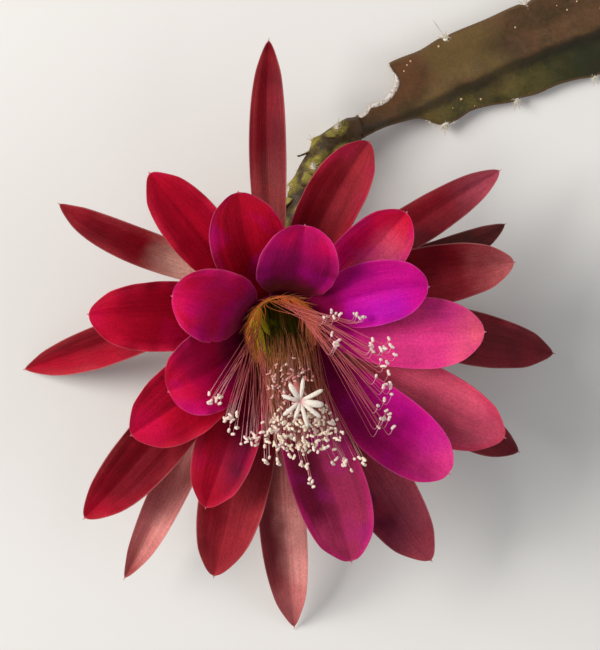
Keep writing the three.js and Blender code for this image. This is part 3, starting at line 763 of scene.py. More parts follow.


# %% [markdown]
# ## Giving each tepal its colours
# The inner tepals run from violet and magenta to crimson, the middle ones are crimson, and the outer
# ones fade to dusty coral with tan feet. Nineteen named tints are enough for all of them. Each row
# names the foot, the left half, the right half and the tip, with left as seen from the foot. The
# tints of the two halves hold painted shade as well as hue, so one half is often darker than the other.

# %% A small palette of petal tints, and where each tepal wears them
TINTS = {
    "wine": "560a24",
    "oxblood": "6a0812",
    "mahogany": "661c22",
    "umber": "502822",
    "tan": "8a4440",
    "brick": "8e242c",
    "crimson": "9a0620",
    "scarlet": "bc0c30",
    "cherry": "a8043e",
    "plum": "800646",
    "raspberry": "962a4e",
    "magenta": "bc0c7c",
    "violet": "b0089c",
    "pink": "d83880",
    "rose": "d85470",
    "dusty": "a84858",
    "coral": "c06868",
    "salmon": "f4a098",
    "shell": "fcccb8",
}
TEPAL_TINTS = {
    "inner_tepal_1": "magenta pink pink rose",
    "inner_tepal_2": "plum magenta violet magenta",
    "inner_tepal_3": "cherry cherry rose scarlet",
    "inner_tepal_4": "wine plum plum cherry",
    "inner_tepal_5": "crimson crimson crimson crimson",
    "inner_tepal_6": "plum cherry cherry scarlet",
    "inner_tepal_7": "plum cherry cherry scarlet",
    "inner_tepal_8": "wine raspberry wine raspberry",
    "inner_tepal_9": "plum magenta plum pink",
    "middle_tepal_1": "oxblood oxblood brick brick",
    "middle_tepal_2": "crimson crimson crimson crimson",
    "middle_tepal_3": "crimson crimson crimson scarlet",
    "middle_tepal_4": "plum crimson scarlet scarlet",
    "middle_tepal_5": "wine wine crimson crimson",
    "middle_tepal_6": "coral rose dusty rose",
    "outer_tepal_1": "brick oxblood brick coral",
    "outer_tepal_2": "umber umber umber umber",
    "outer_tepal_3": "tan oxblood mahogany dusty",
    "outer_tepal_4": "tan oxblood mahogany oxblood",
    "outer_tepal_5": "shell oxblood oxblood oxblood",
    "outer_tepal_6": "oxblood crimson oxblood crimson",
    "outer_tepal_7": "brick oxblood oxblood crimson",
    "outer_tepal_8": "shell salmon coral tan",
    "outer_tepal_9": "brick brick oxblood brick",
    "outer_tepal_10": "tan salmon mahogany coral",
    "outer_tepal_11": "mahogany dusty wine dusty",
    "outer_tepal_12": "tan mahogany mahogany mahogany",
    "outer_tepal_13": "mahogany mahogany mahogany mahogany",
}
print("tints:", len(TINTS), "for", len(TEPAL_TINTS), "tepals")

# %% What the skins of each kind share
SKINS = {
    "inner": {
        "gloss": 0.14,
        "tints": {"Margin": "e89ab4", "Back": "a01448", "Flush": "a80488", "Lit Edge": "d81c7c"},
        "shares": {
            "Streaks": 0.2, "Cells": 0.42, "Foot Reach": 0.42, "Midrib": 0.03, "Pale Edge": 0.1,
            "Flush Share": 0.24, "Lit Share": 0.34,
        },
    },
    "middle": {
        "gloss": 0.15,
        "tints": {"Margin": "e88c98", "Back": "96202e", "Flush": "b40450", "Lit Edge": "dc2848"},
        "shares": {
            "Streaks": 0.26, "Cells": 0.4, "Foot Reach": 0.3, "Midrib": 0.08, "Pale Edge": 0.14,
            "Flush Share": 0.24, "Lit Share": 0.36,
        },
    },
    "outer": {
        "gloss": 0.17,
        "tints": {"Margin": "dfa8a4", "Back": "8e3c38", "Flush": "9c2430", "Lit Edge": "b84a4e"},
        "shares": {
            "Streaks": 0.46, "Cells": 0.44, "Foot Reach": 0.5, "Midrib": 0.12, "Pale Edge": 0.2,
            "Flush Share": 0.22, "Lit Share": 0.2,
        },
    },
}

# %% Make the tepals
rng = np.random.default_rng(28)
fold_rng = np.random.default_rng(57)
for tepal in TEPALS:
    folds = []
    for count in FOLD_COUNTS:
        own_count = count * fold_rng.uniform(0.85, 1.15)
        folds.append((own_count, fold_rng.uniform(0, 1), fold_rng.uniform(-1, 1)))
    own = Own(
        waves=rng.uniform(1.3, 2.3),
        phase=rng.uniform(0, 1),
        skew=rng.uniform(-0.05, 0.05),
        sharp=rng.uniform(0.18, 0.36) * WHORLS[tepal.whorl].sharp,
        arch=rng.uniform(0.05, 0.09),
        folds=folds,
    )
    points, faces, uv, features = tepal_blade(tepal, own)
    kind = tepal.name.split("_")[0]
    colours = [TINTS[tint] for tint in TEPAL_TINTS[tepal.name].split()]
    material = tepal_material(tepal.name + "_skin", colours, SKINS[kind])
    piece(tepal.name + "_blade", points, faces, [material], tepal.name, features, uv=uv)
print("tepals:", len(TEPALS), "with", sum(len(o.data.polygons) for o in PIECES), "faces")

# %% [markdown]
# ## The floral tube
# The tube is a soft waxy green, blotched with brown, and turns tan where the tepals leave it. Under
# each leafy scale the skin stands up in a low bump. The throat inside it is yellow at the rim and
# falls to a dark green; near the rim and on its lit side it carries a painted glow, lighter tints and
# emission that stand in for light coming through the wall. A lathe would give the plain form; rings
# along the bent axis give the bend and the bumps as well.

# %% Materials of the tube
wax, tree, shader = new_material(
    "waxy_green_skin", specular_ior_level=0.25, subsurface_weight=0.05, subsurface_scale=0.001
)
mottled = mottle(tree, "968838", "5e5218", 300.0)
blotch = minus(tree, speckle(tree, 420.0, 3.0, 0.6), 0.5)
knob = plus(tree, feature_of(tree, "knob"), blotch)
tint = mix(tree, step(tree, knob, -0.05, 0.65), colour("36260e"), mottled["Color"])
neck_and_end = [(0.32, 0.1, "a8624e"), (0.1, 0.02, "7a0634"), (0.93, 0.99, "4a3420")]
tint = layers(tree, feature_of(tree, "down_tube"), tint, neck_and_end)
cells = skin_cells(tree, 1500.0, 0.3)
tree.links.new(brighten(tree, tint, cells["Light"]), shader["Base Color"])
tree.links.new(step(tree, mottled["Height"], -0.1, 1.0), shader["Roughness"])
relief = plus(tree, times(tree, cells["Height"], 0.3), mottled["Height"])
tree.links.new(bump(tree, relief, 0.25, 0.6), shader["Normal"])

throat, tree, shader = new_material(
    "throat_skin",
    specular_ior_level=0.15,
    roughness=0.5,
    subsurface_weight=0.1,
    subsurface_scale=0.001,
    emission_strength=0.34,
)
rim_depth = feature_of(tree, "depth")
depth = plus(tree, rim_depth, times(tree, speckle(tree, 260.0), 0.06))
down_throat = [(0.005, 0.03, "c86840"), (0.03, 0.07, "8c7c18"), (0.1, 0.18, "3c480e")]
tint = layers(tree, depth, colour("6a0630"), down_throat)
tint = mix(tree, step(tree, feature_of(tree, "rosy"), 0.3, 0.9), tint, colour("8c4434"))
# Painted glow: the lit side turns a lighter yellow-green, and it and a band near the rim emit light.
tint = mix(tree, feature_of(tree, "glow"), tint, colour("989418"))
painted_rim_glow = times(tree, step(tree, rim_depth, 0.005, 0.02), step(tree, rim_depth, 0.1, 0.05))
painted_wall_glow = plus(tree, times(tree, feature_of(tree, "glow"), 0.6), painted_rim_glow)
tree.links.new(brighten(tree, tint, painted_wall_glow), shader["Emission Color"])
cells = skin_cells(tree, 1800.0, 0.35)
tree.links.new(brighten(tree, tint, cells["Light"]), shader["Base Color"])
tree.links.new(bump(tree, cells["Height"], 0.15, 0.5), shader["Normal"])
print("materials:", wax.name, throat.name)

# %% Scales and where they sit
SCALES = 18
GOLDEN_ANGLE = 137.5
TUBE_SIDES = 96
scale_places = [(0.95 - 0.036 * i, GOLDEN_ANGLE * i) for i in range(SCALES)]


def tube_relief(t, azimuth):
    """Low bumps under the scales and faint ribs down from them."""
    relief = np.zeros(np.broadcast(t, azimuth).shape)
    for scale_t, scale_azimuth in scale_places:
        turn = turn_from(azimuth, scale_azimuth)
        relief += 1.3 * bell(t, scale_t + 0.014, 0.024) * bell(turn, 0, 28)
        relief += 0.35 * bell(t, scale_t + 0.05, 0.04) * bell(turn, 0, 16)
    return relief


ROSY_SIDE, LIT_SIDE, SIDE_SPREAD = 345, 186, 80


def throat_tints(azimuth, depth):
    """Shares of the rosy flush and of the painted glow on the lit side of the throat's wall."""
    rosy = bell(turn_from(azimuth, ROSY_SIDE), 0, SIDE_SPREAD) * (1 - smooth(depth, 0.02, 0.14))
    glow = bell(turn_from(azimuth, LIT_SIDE), 0, SIDE_SPREAD) * bell(depth, 0.115, 0.07)
    return rosy, glow


def rim_wave(t, azimuth):
    """How far the rim rises and dips between the feet of the tepals."""
    a = np.radians(azimuth)
    wave = 0.35 * np.sin(5 * a + 1) + 0.25 * np.sin(11 * a + 2) + 0.15 * np.sin(23 * a)
    return (wave * (1 - smooth(t, 0, 0.05)))[..., None] * UP


# %% The tube's wall and throat
azimuths = np.arange(TUBE_SIDES) * 360 / TUBE_SIDES
outside_t = np.concatenate([[1.012], np.linspace(1.0, 0.004, 112)])
inside_t = np.linspace(0.004, THROAT_FLOOR, 28)
t, azimuth = np.meshgrid(outside_t, azimuths, indexing="ij")
stem_end = 0.6 * smooth(t, 0.965, 1.0)
outside = round_tube(t, azimuth, tube_radius(t) + tube_relief(t, azimuth) - stem_end)[0]
outside = outside + rim_wave(t, azimuth)
lip = []
for turn in (45, 90, 135):
    lip_t = np.full(TUBE_SIDES, 0.004 * (1 - math.sin(math.radians(turn))))
    lip_middle = (tube_radius(0.004) + throat_radius(0.004)) / 2
    lip_radius = lip_middle + 0.1 * RIM_WALL * math.cos(math.radians(turn))
    lip_ring = round_tube(lip_t, azimuths, np.full(TUBE_SIDES, lip_radius))[0]
    lip.append(lip_ring + rim_wave(lip_t, azimuths))
t, azimuth = np.meshgrid(inside_t, azimuths, indexing="ij")
inside = round_tube(t, azimuth, throat_radius(t))[0] + rim_wave(t, azimuth)
rings = np.concatenate([outside, lip, inside])
floor_middle = bezier(TUBE_AXIS, THROAT_FLOOR)[0]
into_stem = direction(STEM_TURN, 0)  # the tube runs on into the stem by one millimetre
end_middle = bezier(TUBE_AXIS, 1.0)[0] + into_stem
rings[0] = rings[1] + into_stem
points = np.vstack([rings.reshape(-1, 3), floor_middle, end_middle])
faces = strip_faces(len(rings), TUBE_SIDES, around=True)
last = (len(rings) - 1) * TUBE_SIDES
faces += fan_faces(list(range(last, last + TUBE_SIDES)), len(points) - 2, forward=True)
faces += fan_faces(list(range(TUBE_SIDES)), len(points) - 1, forward=False)

# %% What the tube's skin has to know, and its piece
down = np.repeat(np.concatenate([outside_t, np.zeros(len(lip)), inside_t]), TUBE_SIDES)
depth = np.repeat(np.concatenate([np.zeros(len(outside_t) + len(lip)), inside_t]), TUBE_SIDES)
around = np.tile(azimuths, len(rings))
rosy, glow = throat_tints(around, depth)
is_throat = (np.arange(len(faces)) // TUBE_SIDES >= len(outside_t)).astype(int)
is_throat[-TUBE_SIDES:] = 0
features = {
    "knob": np.append(tube_relief(down, around), [0.0, 0.0]),
    "down_tube": np.append(down, [THROAT_FLOOR, 1.0]),
    "depth": np.append(depth, [THROAT_FLOOR, 0.0]),
    "rosy": np.append(rosy, [0.0, 0.0]),
    "glow": np.append(glow, [0.0, 0.0]),
}
piece("floral_tube_skin", points, faces, [wax, throat], "floral_tube", features, is_throat)
print("tube:", len(faces), "faces, throat", 2 * throat_radius(0.02).round(1), "mm wide")

# %% [markdown]
# ## Scales, wool and bristles
# Each scale is a small leaf pressed to the tube, green with a dry brown tip, and a tuft of white wool
# with a bristle or two grows in the angle behind it. Real wool could be a hair system, but loose hair
# doesn't travel with a mesh, so each hair is a thin three-sided rod that curls.

# %% Materials of scales, wool and spines
scale_skin, tree, shader = new_material("leafy_scale_skin", specular_ior_level=0.25, roughness=0.55)
flat = place_on_blade(tree)
wander = times(tree, speckle(tree, 500.0, 3.0), 0.5)
off_middle = maths(tree, "ABSOLUTE", minus(tree, flat[0], 0.5))
edge_or_tip = maths(tree, "MAXIMUM", flat[1], times(tree, off_middle, 1.9))
browned = step(tree, plus(tree, edge_or_tip, wander), 0.85, 1.2)
green = mix(tree, step(tree, flat[1], 0.0, 0.45), colour("666020"), colour("8c823a"))
tint = mix(tree, browned, green, colour("4c2c18"))
streaks = skin_streaks(tree, 12.0, 0.4)
tree.links.new(brighten(tree, tint, streaks["Light"]), shader["Base Color"])
tree.links.new(bump(tree, streaks["Height"], 0.2, 0.5), shader["Normal"])

wool, tree, shader = new_material(
    "white_wool", specular_ior_level=0.2, sheen_weight=0.4, roughness=0.8
)
tint = mix(tree, speckle(tree, 700.0), colour("d8cdb4"), colour("f6f1e4"))
tree.links.new(tint, shader["Base Color"])

spine, tree, shader = new_material("pale_spine", specular_ior_level=0.5, roughness=0.4)
tint = layers(tree, feature_of(tree, "toward_tip"), colour("cfc3a4"), [(0.2, 0.9, "8a6a48")])
tint = wash(tree, tint, speckle(tree, 900.0), 0.4, colour("efe8d6"))
tree.links.new(tint, shader["Base Color"])
print("materials:", scale_skin.name, wool.name, spine.name)


# %% Hairs and tufts of wool
def add_hair(heap, root, way, length, radius, curl, finish=0, sides=3):
    """A thin rod that leaves root along way and curls aside."""
    bend = rng.normal(size=3)
    bend = unit(bend - (bend @ way) * way) * curl * length
    t = np.linspace(0, 1, 5)[:, None]
    line = root + way * length * t + bend * t * t
    points, faces = rod(line, radius * np.array([1, 0.95, 0.85, 0.6, 0.2]), sides)
    heap.add(points, faces, finish, toward_tip=along_rod(t[:, 0], sides))


def add_tuft(heap, root, way, count, length, size):
    """A cushion of matted wool with many short curling hairs over it."""
    line = root + np.outer(np.linspace(-0.6, 0.7, 7) * size, way)
    points, faces = rod(line, size * np.array([0.75, 1.0, 1.1, 1.05, 0.9, 0.6, 0.25]), 14)
    points = points + rng.normal(size=points.shape) * 0.11 * size
    heap.add(points, faces, 0, toward_tip=0.0)
    for _ in range(count):
        out = unit(rng.normal(size=3) + 0.7 * way)
        start = root + out * size * 0.7
        lean = unit(out + rng.normal(size=3) * 1.1)
        add_hair(heap, start, lean, length * rng.uniform(0.4, 1.0), 0.055, rng.uniform(0.7, 1.6))


# %% The scales, each with its tuft
rng = np.random.default_rng(14)
scales, tufts = Heap(), Heap()
u, v = np.linspace(0, 0.97, 12), np.linspace(-1, 1, 9)
scale_uv = []
for i, (t, azimuth) in enumerate(scale_places):
    length, width = 4.4 + 0.3 * i, 4.0 + 0.09 * i
    root, outward, along = round_tube(t, azimuth, tube_radius(t))
    forward = -along
    side = np.cross(forward, outward)
    uu, vv = np.meshgrid(u, v, indexing="ij")
    twist = rng.uniform(-0.4, 0.4)
    away = -0.9 + 2.4 * uu - 0.7 * vv * vv * (1 - uu) + 0.5 * uu**4 + twist * uu * vv
    across = width / 2 * vv * (1 - uu) ** 0.65 * (1 + 0.7 * uu)
    sheet = root + forward * (length * uu)[..., None] + outward * away[..., None]
    sheet = sheet + side * across[..., None]
    thick = (0.6 - 0.4 * vv * vv) * (1 - 0.8 * uu)
    face, back = sheet + outward * thick[..., None] / 2, sheet - outward * thick[..., None] / 2
    rows, columns = len(u), len(v)
    under = rows * columns
    body = strip_faces(rows, columns) + [f[::-1] for f in strip_faces(rows, columns, start=under)]
    ring = [*range(columns), *range(2 * columns - 1, under, columns)]
    ring += [*range(under - 2, under - columns - 1, -1), *range(under - 2 * columns, 0, -columns)]
    body += [[b, a, under + a, under + b] for a, b in zip(ring, ring[1:] + ring[:1])]
    scales.add(np.vstack([face.reshape(-1, 3), back.reshape(-1, 3)]), body)
    scale_uv += 2 * [np.stack([(vv + 1) / 2, uu], -1).reshape(-1, 2)]
    axil = root + outward * 0.75 - forward * 0.7
    add_tuft(tufts, axil, unit(outward - 0.4 * forward), 130, 1.1, 0.85)
    for _ in range(2):
        lean = unit(outward + 0.36 * rng.normal(size=3) - 0.3 * forward)
        add_hair(tufts, axil, lean, rng.uniform(2.4, 3.8), 0.09, 0.12, finish=1, sides=4)
heap_piece("tube_scales", scales, [scale_skin], "floral_tube", np.vstack(scale_uv))
heap_piece("tube_wool", tufts, [wool, spine], "floral_tube")
print("scales:", SCALES, "hair faces:", len(tufts.faces))

# %% [markdown]
# ## The stamens
# About four hundred fine filaments rise from the wall of the throat, lean together over its lower
# side and each carries one anther. They lie in groups: a short fringe on the left, a long fringe on
# the right whose ends hook upwards, a low fringe, and dense crowds below and above the stigma. Each
# filament is its own rod, so that light passes between them.

# %% Materials of filaments and anthers
filament, tree, shader = new_material(
    "filament",
    specular_ior_level=0.22,
    roughness=0.42,
    subsurface_weight=0.1,
    subsurface_scale=0.0005,
    emission_strength=0.3,
)
toward_tip, rosy, glow = (feature_of(tree, name) for name in ("toward_tip", "rosy", "glow"))
flush = mix(tree, rosy, colour("8a5a30"), colour("c05c62"))
is_deep = step(tree, feature_of(tree, "depth"), 0.05, 0.1)
root_tint = mix(tree, is_deep, colour("d46c40"), colour("2e3408"))
# Painted glow: shallow roots on the lit side of the throat turn a lighter yellow-green.
root_tint = mix(tree, glow, root_tint, colour("a49c1c"))
held_back = times(tree, maths(tree, "MAXIMUM", is_deep, glow), 0.32)
tint = mix(tree, step(tree, minus(tree, toward_tip, held_back), 0.14, 0.45), root_tint, flush)
paleness = plus(tree, toward_tip, times(tree, rosy, 0.3))
tint = layers(tree, paleness, tint, [(0.9, 1.4, "f0c4c8")])
grained = brighten(tree, tint, scaled(tree, speckle(tree, 300.0), 0.7, 0.6))
tree.links.new(grained, shader["Base Color"])
# Painted glow: the shallow roots emit light, standing in for light through the filaments.
lit_root = times(tree, step(tree, toward_tip, 0.5, 0.05), minus(tree, 1.0, is_deep))
tree.links.new(brighten(tree, tint, lit_root), shader["Emission Color"])

pollen, tree, shader = new_material("pollen_covered_anther", specular_ior_level=0.25, roughness=0.8)
grains = from_cell(tree, 4200.0)
rosy = feature_of(tree, "rosy")
tint = layers(tree, speckle(tree, 500.0), colour("eed9b8"), [(0.35, 0.7, "fff4e0")])
tint = mix(tree, rosy, tint, colour("f2d8d0"))
tint = layers(tree, rosy, tint, [(1.0, 1.3, "cc7c74")])
# Painted highlights: each pollen grain is lighter in its middle and darker at its edge.
tree.links.new(brighten(tree, tint, scaled(tree, grains, 1.15, -0.45)), shader["Base Color"])
tree.links.new(bump(tree, minus(tree, 1.0, grains), 0.15, 0.7), shader["Normal"])

foot_skin, tree, shader = new_material(
    "filament_feet",
    specular_ior_level=0.15,
    roughness=0.5,
    subsurface_weight=0.3,
    subsurface_scale=0.003,
    subsurface_radius=(1.0, 0.9, 0.2),
    emission_strength=0.4,
)
depth, glow = feature_of(tree, "depth"), feature_of(tree, "glow")
down_feet = [(0.003, 0.02, "d47044"), (0.03, 0.07, "988420"), (0.1, 0.17, "3c480e")]
tint = layers(tree, depth, colour("8a1438"), down_feet)
tint = mix(tree, feature_of(tree, "rosy"), tint, colour("9c5440"))
# Painted glow: the lit side of the sleeve turns a lighter yellow-green, and the lit side and a band near
# the rim emit light.
tint = mix(tree, glow, tint, colour("9c9818"))
# Painted shade: the feet are darker in the grooves between the flutes and lighter on their crests, with
# a random grain.
flute_shade_and_grain = plus(tree, times(tree, feature_of(tree, "toward_tip"), 0.6), speckle(tree, 800.0))
tint = brighten(tree, tint, plus(tree, 0.3, flute_shade_and_grain))
tree.links.new(tint, shader["Base Color"])
painted_rim_glow = times(tree, step(tree, depth, 0.003, 0.015), step(tree, depth, 0.11, 0.06))
painted_wall_glow = plus(tree, times(tree, glow, 1.1), painted_rim_glow)
tree.links.new(brighten(tree, tint, painted_wall_glow), shader["Emission Color"])
print("materials:", filament.name, pollen.name, foot_skin.name)


# %% One filament with its anther
FOOT_INSET = 0.7  # from the wall's seat to the middle of a filament's foot
HOOK_LEAN = 14  # degrees by which a hooked filament leaves the wall flatter


def add_stamen(heap, azimuth, deep, tip, hooked, rosy, size=0.9, thick=0.07, blush=0.0):
    """A filament from the throat's wall to an anther; a hooked one turns up in a small J."""
    root = round_tube(deep, azimuth, throat_radius(deep) - SEAT - FOOT_INSET)[0]
    bend = tip
    if hooked:
        bend = tip + np.array([-1.9, -2.3, -1.6]) * rng.uniform(0.7, 1.2)
    length = np.linalg.norm(bend - root)
    flat_way = unit((bend - root) * [1, 1, 0])
    arrive = flat_way * 0.75 + UP * (0.3 if hooked else 0.65)
    rise, hold = (rng.uniform(86, 112), 0.3) if deep < 0.1 else (97, 0.42)
    if hooked:
        rise = rise - HOOK_LEAN
    handles = [root, root + direction(azimuth, rise) * length * hold, bend - arrive * length * 0.3, bend]
    line = bezier(handles, np.linspace(0, 1, 15) ** 1.3)[0]
    if hooked:
        swing = bend + unit(arrive) * np.linalg.norm(tip - bend) * 0.55
        t = np.linspace(0.2, 1, 6)[:, None]
        line = np.vstack([line, (1 - t) ** 2 * bend + 2 * t * (1 - t) * swing + t * t * tip])
    share = np.linspace(0, 1, len(line))
    radii = thick * rng.uniform(0.85, 1.15) * (1.5 - 0.6 * share)
    points, faces = rod(line, radii, 5)
    # The share of painted glow: shallow roots on the lit side of the throat.
    glow = 0.0 if deep > 0.1 else 0.5 * bell(turn_from(azimuth, 195), 0, 55)
    heap.add(points, faces, 0, toward_tip=along_rod(share, 5), rosy=rosy, depth=deep, glow=glow)
    lean = unit(rng.normal(size=3) * [1, 1, 0.9] + UP * 0.3)
    half = size * rng.uniform(0.65, 1.2)
    steps = np.array([-1, -0.8, -0.35, 0, 0.35, 0.8, 1])
    curve = np.cross(lean, UP) * 0.25
    middle = line[-1] + UP * 0.15
    anther_line = middle + np.outer(steps * half, lean) + np.outer(steps**2, curve)
    shape = np.array([0.15, 0.75, 1.0, 0.82, 1.0, 0.75, 0.15]) * size * rng.uniform(0.42, 0.54)
    points, faces = rod(anther_line, shape, 8)
    heap.add(points, faces, 1, toward_tip=1.0, rosy=rosy + blush, depth=0.0, glow=0.0)


# %% The fluted ring of grown-together feet
rng = np.random.default_rng(166)
stamens = Heap()
FLUTES, STEPS = 90, 360
SLEEVE_FOOT = 0.19  # how far down the tube the sleeve reaches
FLUTE_TWIST = 400  # degrees by which the flutes would turn along the whole tube
levels = np.linspace(0, 1, 20)
rise, azimuth = np.meshgrid(levels, np.arange(STEPS) * 360 / STEPS, indexing="ij")
ragged = np.repeat(rng.uniform(0.006, 0.034, FLUTES), STEPS // FLUTES)
ragged = (ragged + np.roll(ragged, 1)) / 2
t = SLEEVE_FOOT + (ragged - SLEEVE_FOOT) * rise
flutes = np.abs(np.sin(np.radians(azimuth * FLUTES / 2 + FLUTE_TWIST * t)))
outer_ring = round_tube(t, azimuth, throat_radius(t) - 0.1)[0] + rim_wave(t, azimuth)
fade = smooth(t, 0, 0.13)
inner_radius = throat_radius(t) - 0.2 - (0.3 + 0.5 * flutes) * fade
inner_ring = round_tube(t, azimuth, inner_radius)[0] + rim_wave(t, azimuth)
rings = np.concatenate([outer_ring, inner_ring[::-1]])
count = len(rings)
faces = strip_faces(count, STEPS, around=True)
closing = strip_faces(2, STEPS, around=True)
to_last = (count - 2) * STEPS
faces += [[(i if i < STEPS else i + to_last) for i in face[::-1]] for face in closing]
ring_depth = np.concatenate([t, t[::-1]]).ravel()
ring_azimuth = np.tile(np.arange(STEPS) * 360 / STEPS, count)
ring_flutes = np.concatenate([flutes, flutes[::-1]]).ravel()
ring_rosy, ring_glow = throat_tints(ring_azimuth, ring_depth)
# The flutes' crest share rides in toward_tip, where the feet's material paints shade into the grooves.
stamens.add(
    rings.reshape(-1, 3),
    faces,
    2,
    toward_tip=ring_flutes,
    rosy=ring_rosy * 0.8,
    depth=ring_depth,
    glow=ring_glow,
)
print("sleeve:", len(stamens.faces), "faces")

# %% Wisps that soften the rim
WISPS = 170
for i in range(WISPS):
    azimuth = 20 + 240 * (i + rng.uniform(-0.5, 0.5)) / WISPS
    deep = rng.uniform(0.002, 0.03)
    root, outward, _ = round_tube(deep, azimuth, throat_radius(deep) - rng.uniform(0.1, 0.5))
    around_rim = np.cross(UP, outward) * (1 if azimuth > 105 else -1)
    way = unit(0.9 * UP + 0.8 * around_rim + rng.uniform(-0.35, 0.5) * outward)
    length = rng.uniform(2.5, 5.5)
    bend = around_rim * 0.45 * length + outward * rng.uniform(-0.15, 0.1) * length
    step_along = np.linspace(0, 1, 6)[:, None]
    line = root + way * length * step_along + (bend - 0.2 * length * UP) * step_along**2
    points, faces = rod(line, 0.07 * np.array([1, 1, 0.9, 0.8, 0.6, 0.3]), 4)
    share = along_rod(np.linspace(0, 0.42, 6), 4)
    # Each wisp's share of painted glow.
    lit = 0.25 + 0.25 * math.sin(2.4 * i)
    stamens.add(points, faces, 0, toward_tip=share, rosy=0.6, depth=0.03, glow=lit)
print("wisps:", WISPS)

# %% The fringes, in small clumps along an arc
Fringe = namedtuple("Fringe", "clumps each path foot hooked rosy")
FRINGES = [
    Fringe(9, 4, [(-20.8, -12.2, 66), (-14, -22.5, 67), (-5, -29.5, 67)], (130, 232), False, (0.6, 0.9)),
    Fringe(7, 5, [(18.5, 4.5, 65), (27.3, -8, 64), (26, -23.5, 66)], (97, 42), True, (0.7, 1.0)),
    Fringe(4, 3, [(11.6, 8.6, 63), (12.8, 4, 62), (16.2, -3.3, 61)], (104, 76), True, (0.7, 1.0)),
    Fringe(6, 4, [(-2, -32, 69), (9, -35, 68), (20.5, -30.5, 69)], (235, 330), False, (0.3, 0.7)),
]
for fringe in FRINGES:
    a, b, c = (np.array(p, float) for p in fringe.path)
    for clump in np.linspace(0, 1, fringe.clumps):
        middle = a + (c - a) * clump + (b - (a + c) / 2) * 4 * clump * (1 - clump)
        middle = middle + rng.normal(size=3) * [1.1, 1.6, 0.8]
        azimuth = fringe.foot[0] + (fringe.foot[1] - fringe.foot[0]) * clump
        for _ in range(fringe.each):
            tip = middle + rng.normal(size=3) * [1.2, 1.2, 0.7]
            rosy = rng.uniform(*fringe.rosy)
            deep = rng.uniform(0.005, 0.05)
            add_stamen(stamens, azimuth + rng.normal() * 11, deep, tip, fringe.hooked, rosy)
print("in the fringes:", sum(f.clumps * f.each for f in FRINGES), "filaments")

# %% The crowds below and above the star
Crowd = namedtuple("Crowd", "count middle half foot swing deep rosy size blush", defaults=(0.0,))
CROWDS = [
    Crowd(94, (3.6, -22.5, 71.5), (9.8, 6.8, 3.6), 270, 75, 0.13, (0.0, 0.6), 0.8),
    Crowd(54, (3.8, -21.5, 73), (9.4, 5.8, 2.6), 95, -60, 0.15, (0.0, 0.3), 0.78),
    Crowd(34, (7.5, -22.5, 71), (7.2, 6.4, 3), 20, -28, 0.03, (0.1, 0.5), 0.8),
    Crowd(24, (-2.5, -24, 70), (5.2, 5.4, 2.4), 176, 34, 0.03, (0.4, 0.8), 0.85),
    Crowd(92, (-0.3, -9.8, 70.5), (5.8, 5.4, 2), 270, 60, 0.17, (0.0, 0.25), 0.6, 1.05),
]
for crowd in CROWDS:
    for i in range(crowd.count):
        a = math.radians(GOLDEN_ANGLE * i)
        r = math.sqrt((i + 0.5) / crowd.count)
        spread = np.array([r * math.cos(a), r * math.sin(a), rng.uniform(-1, 1)])
        tip = np.array(crowd.middle) + spread * crowd.half + rng.normal(size=3) * 0.8
        azimuth = crowd.foot + crowd.swing * spread[0] + rng.normal() * 8
        rosy = rng.uniform(*crowd.rosy)
        add_stamen(stamens, azimuth, crowd.deep, tip, False, rosy, crowd.size, 0.06, crowd.blush)
heap_piece("stamens_fine", stamens, [filament, pollen, foot_skin], "stamens")
stamen_count = sum(f.clumps * f.each for f in FRINGES) + sum(c.count for c in CROWDS)
print("stamens:", stamen_count, "faces:", len(stamens.faces))

# %% [markdown]
# ## The style and its star
# The style is a smooth pinkish column that comes up among the filaments and opens into a star of
# nine creamy lobes, each covered in fine papillae with painted highlights in their middles. The lobes
# are flattened rods of different lengths, because no real star is even.

# %% Materials of the style and the stigma
style_skin, tree, shader = new_material(
    "style_skin",
    specular_ior_level=0.45,
    roughness=0.4,
    subsurface_weight=0.15,
    subsurface_scale=0.001,
)
tint = layers(tree, feature_of(tree, "toward_tip"), colour("5c4a20"), [(0.2, 0.9, "a85850")])
tint = wash(tree, tint, speckle(tree, 260.0, 3.0), 0.5, colour("d09890"))
tree.links.new(tint, shader["Base Color"])

lobe_skin, tree, shader = new_material(
    "stigma_lobe",
    specular_ior_level=0.3,
    roughness=0.7,
    sheen_weight=0.3,
    subsurface_weight=0.1,
    subsurface_scale=0.001,
)
papillae = from_cell(tree, 3600.0)
tint = layers(tree, feature_of(tree, "toward_tip"), colour("e0a8a4"), [(0.05, 0.35, "f4e8da")])
# Painted highlights: each papilla is lighter in its middle and darker at its edge.
tree.links.new(brighten(tree, tint, scaled(tree, papillae, 1.08, -0.5)), shader["Base Color"])
tree.links.new(bump(tree, minus(tree, 1.0, papillae), 0.2, 0.8), shader["Normal"])
print("materials:", style_skin.name, lobe_skin.name)

# %% The column and the nine lobes
LOBES = [
    (29, 7.1, 0.66), (84, 6.8, 0.58), (121, 6.2, 0.78), (160, 5.6, 0.6), (217, 6.2, 0.64),
    (252, 5.2, 0.55), (286, 7.4, 0.62), (322, 7.2, 0.64), (352, 6.5, 1.0),
]
star = Heap()
start = bezier(TUBE_AXIS, THROAT_FLOOR - 0.007)[0] - UP * 0.8
t = np.linspace(0, 1, 40)
line = bezier([start, (0, 0.5, 46), STIGMA + (-1, 7, -18), STIGMA], t)[0]
points, faces = rod(line, np.interp(t, [0, 0.85, 1], [1.0, 0.95, 1.35]), 20)
star.add(points, faces, 0, toward_tip=along_rod(t, 20))
LOBE_STEPS = 14
t = np.linspace(0, 1, LOBE_STEPS)
angle = 2 * np.pi * np.arange(LOBE_STEPS) / LOBE_STEPS
profile = np.interp(t, [0, 0.25, 0.75, 0.93, 1], [0.75, 0.85, 1.0, 0.75, 0.25])
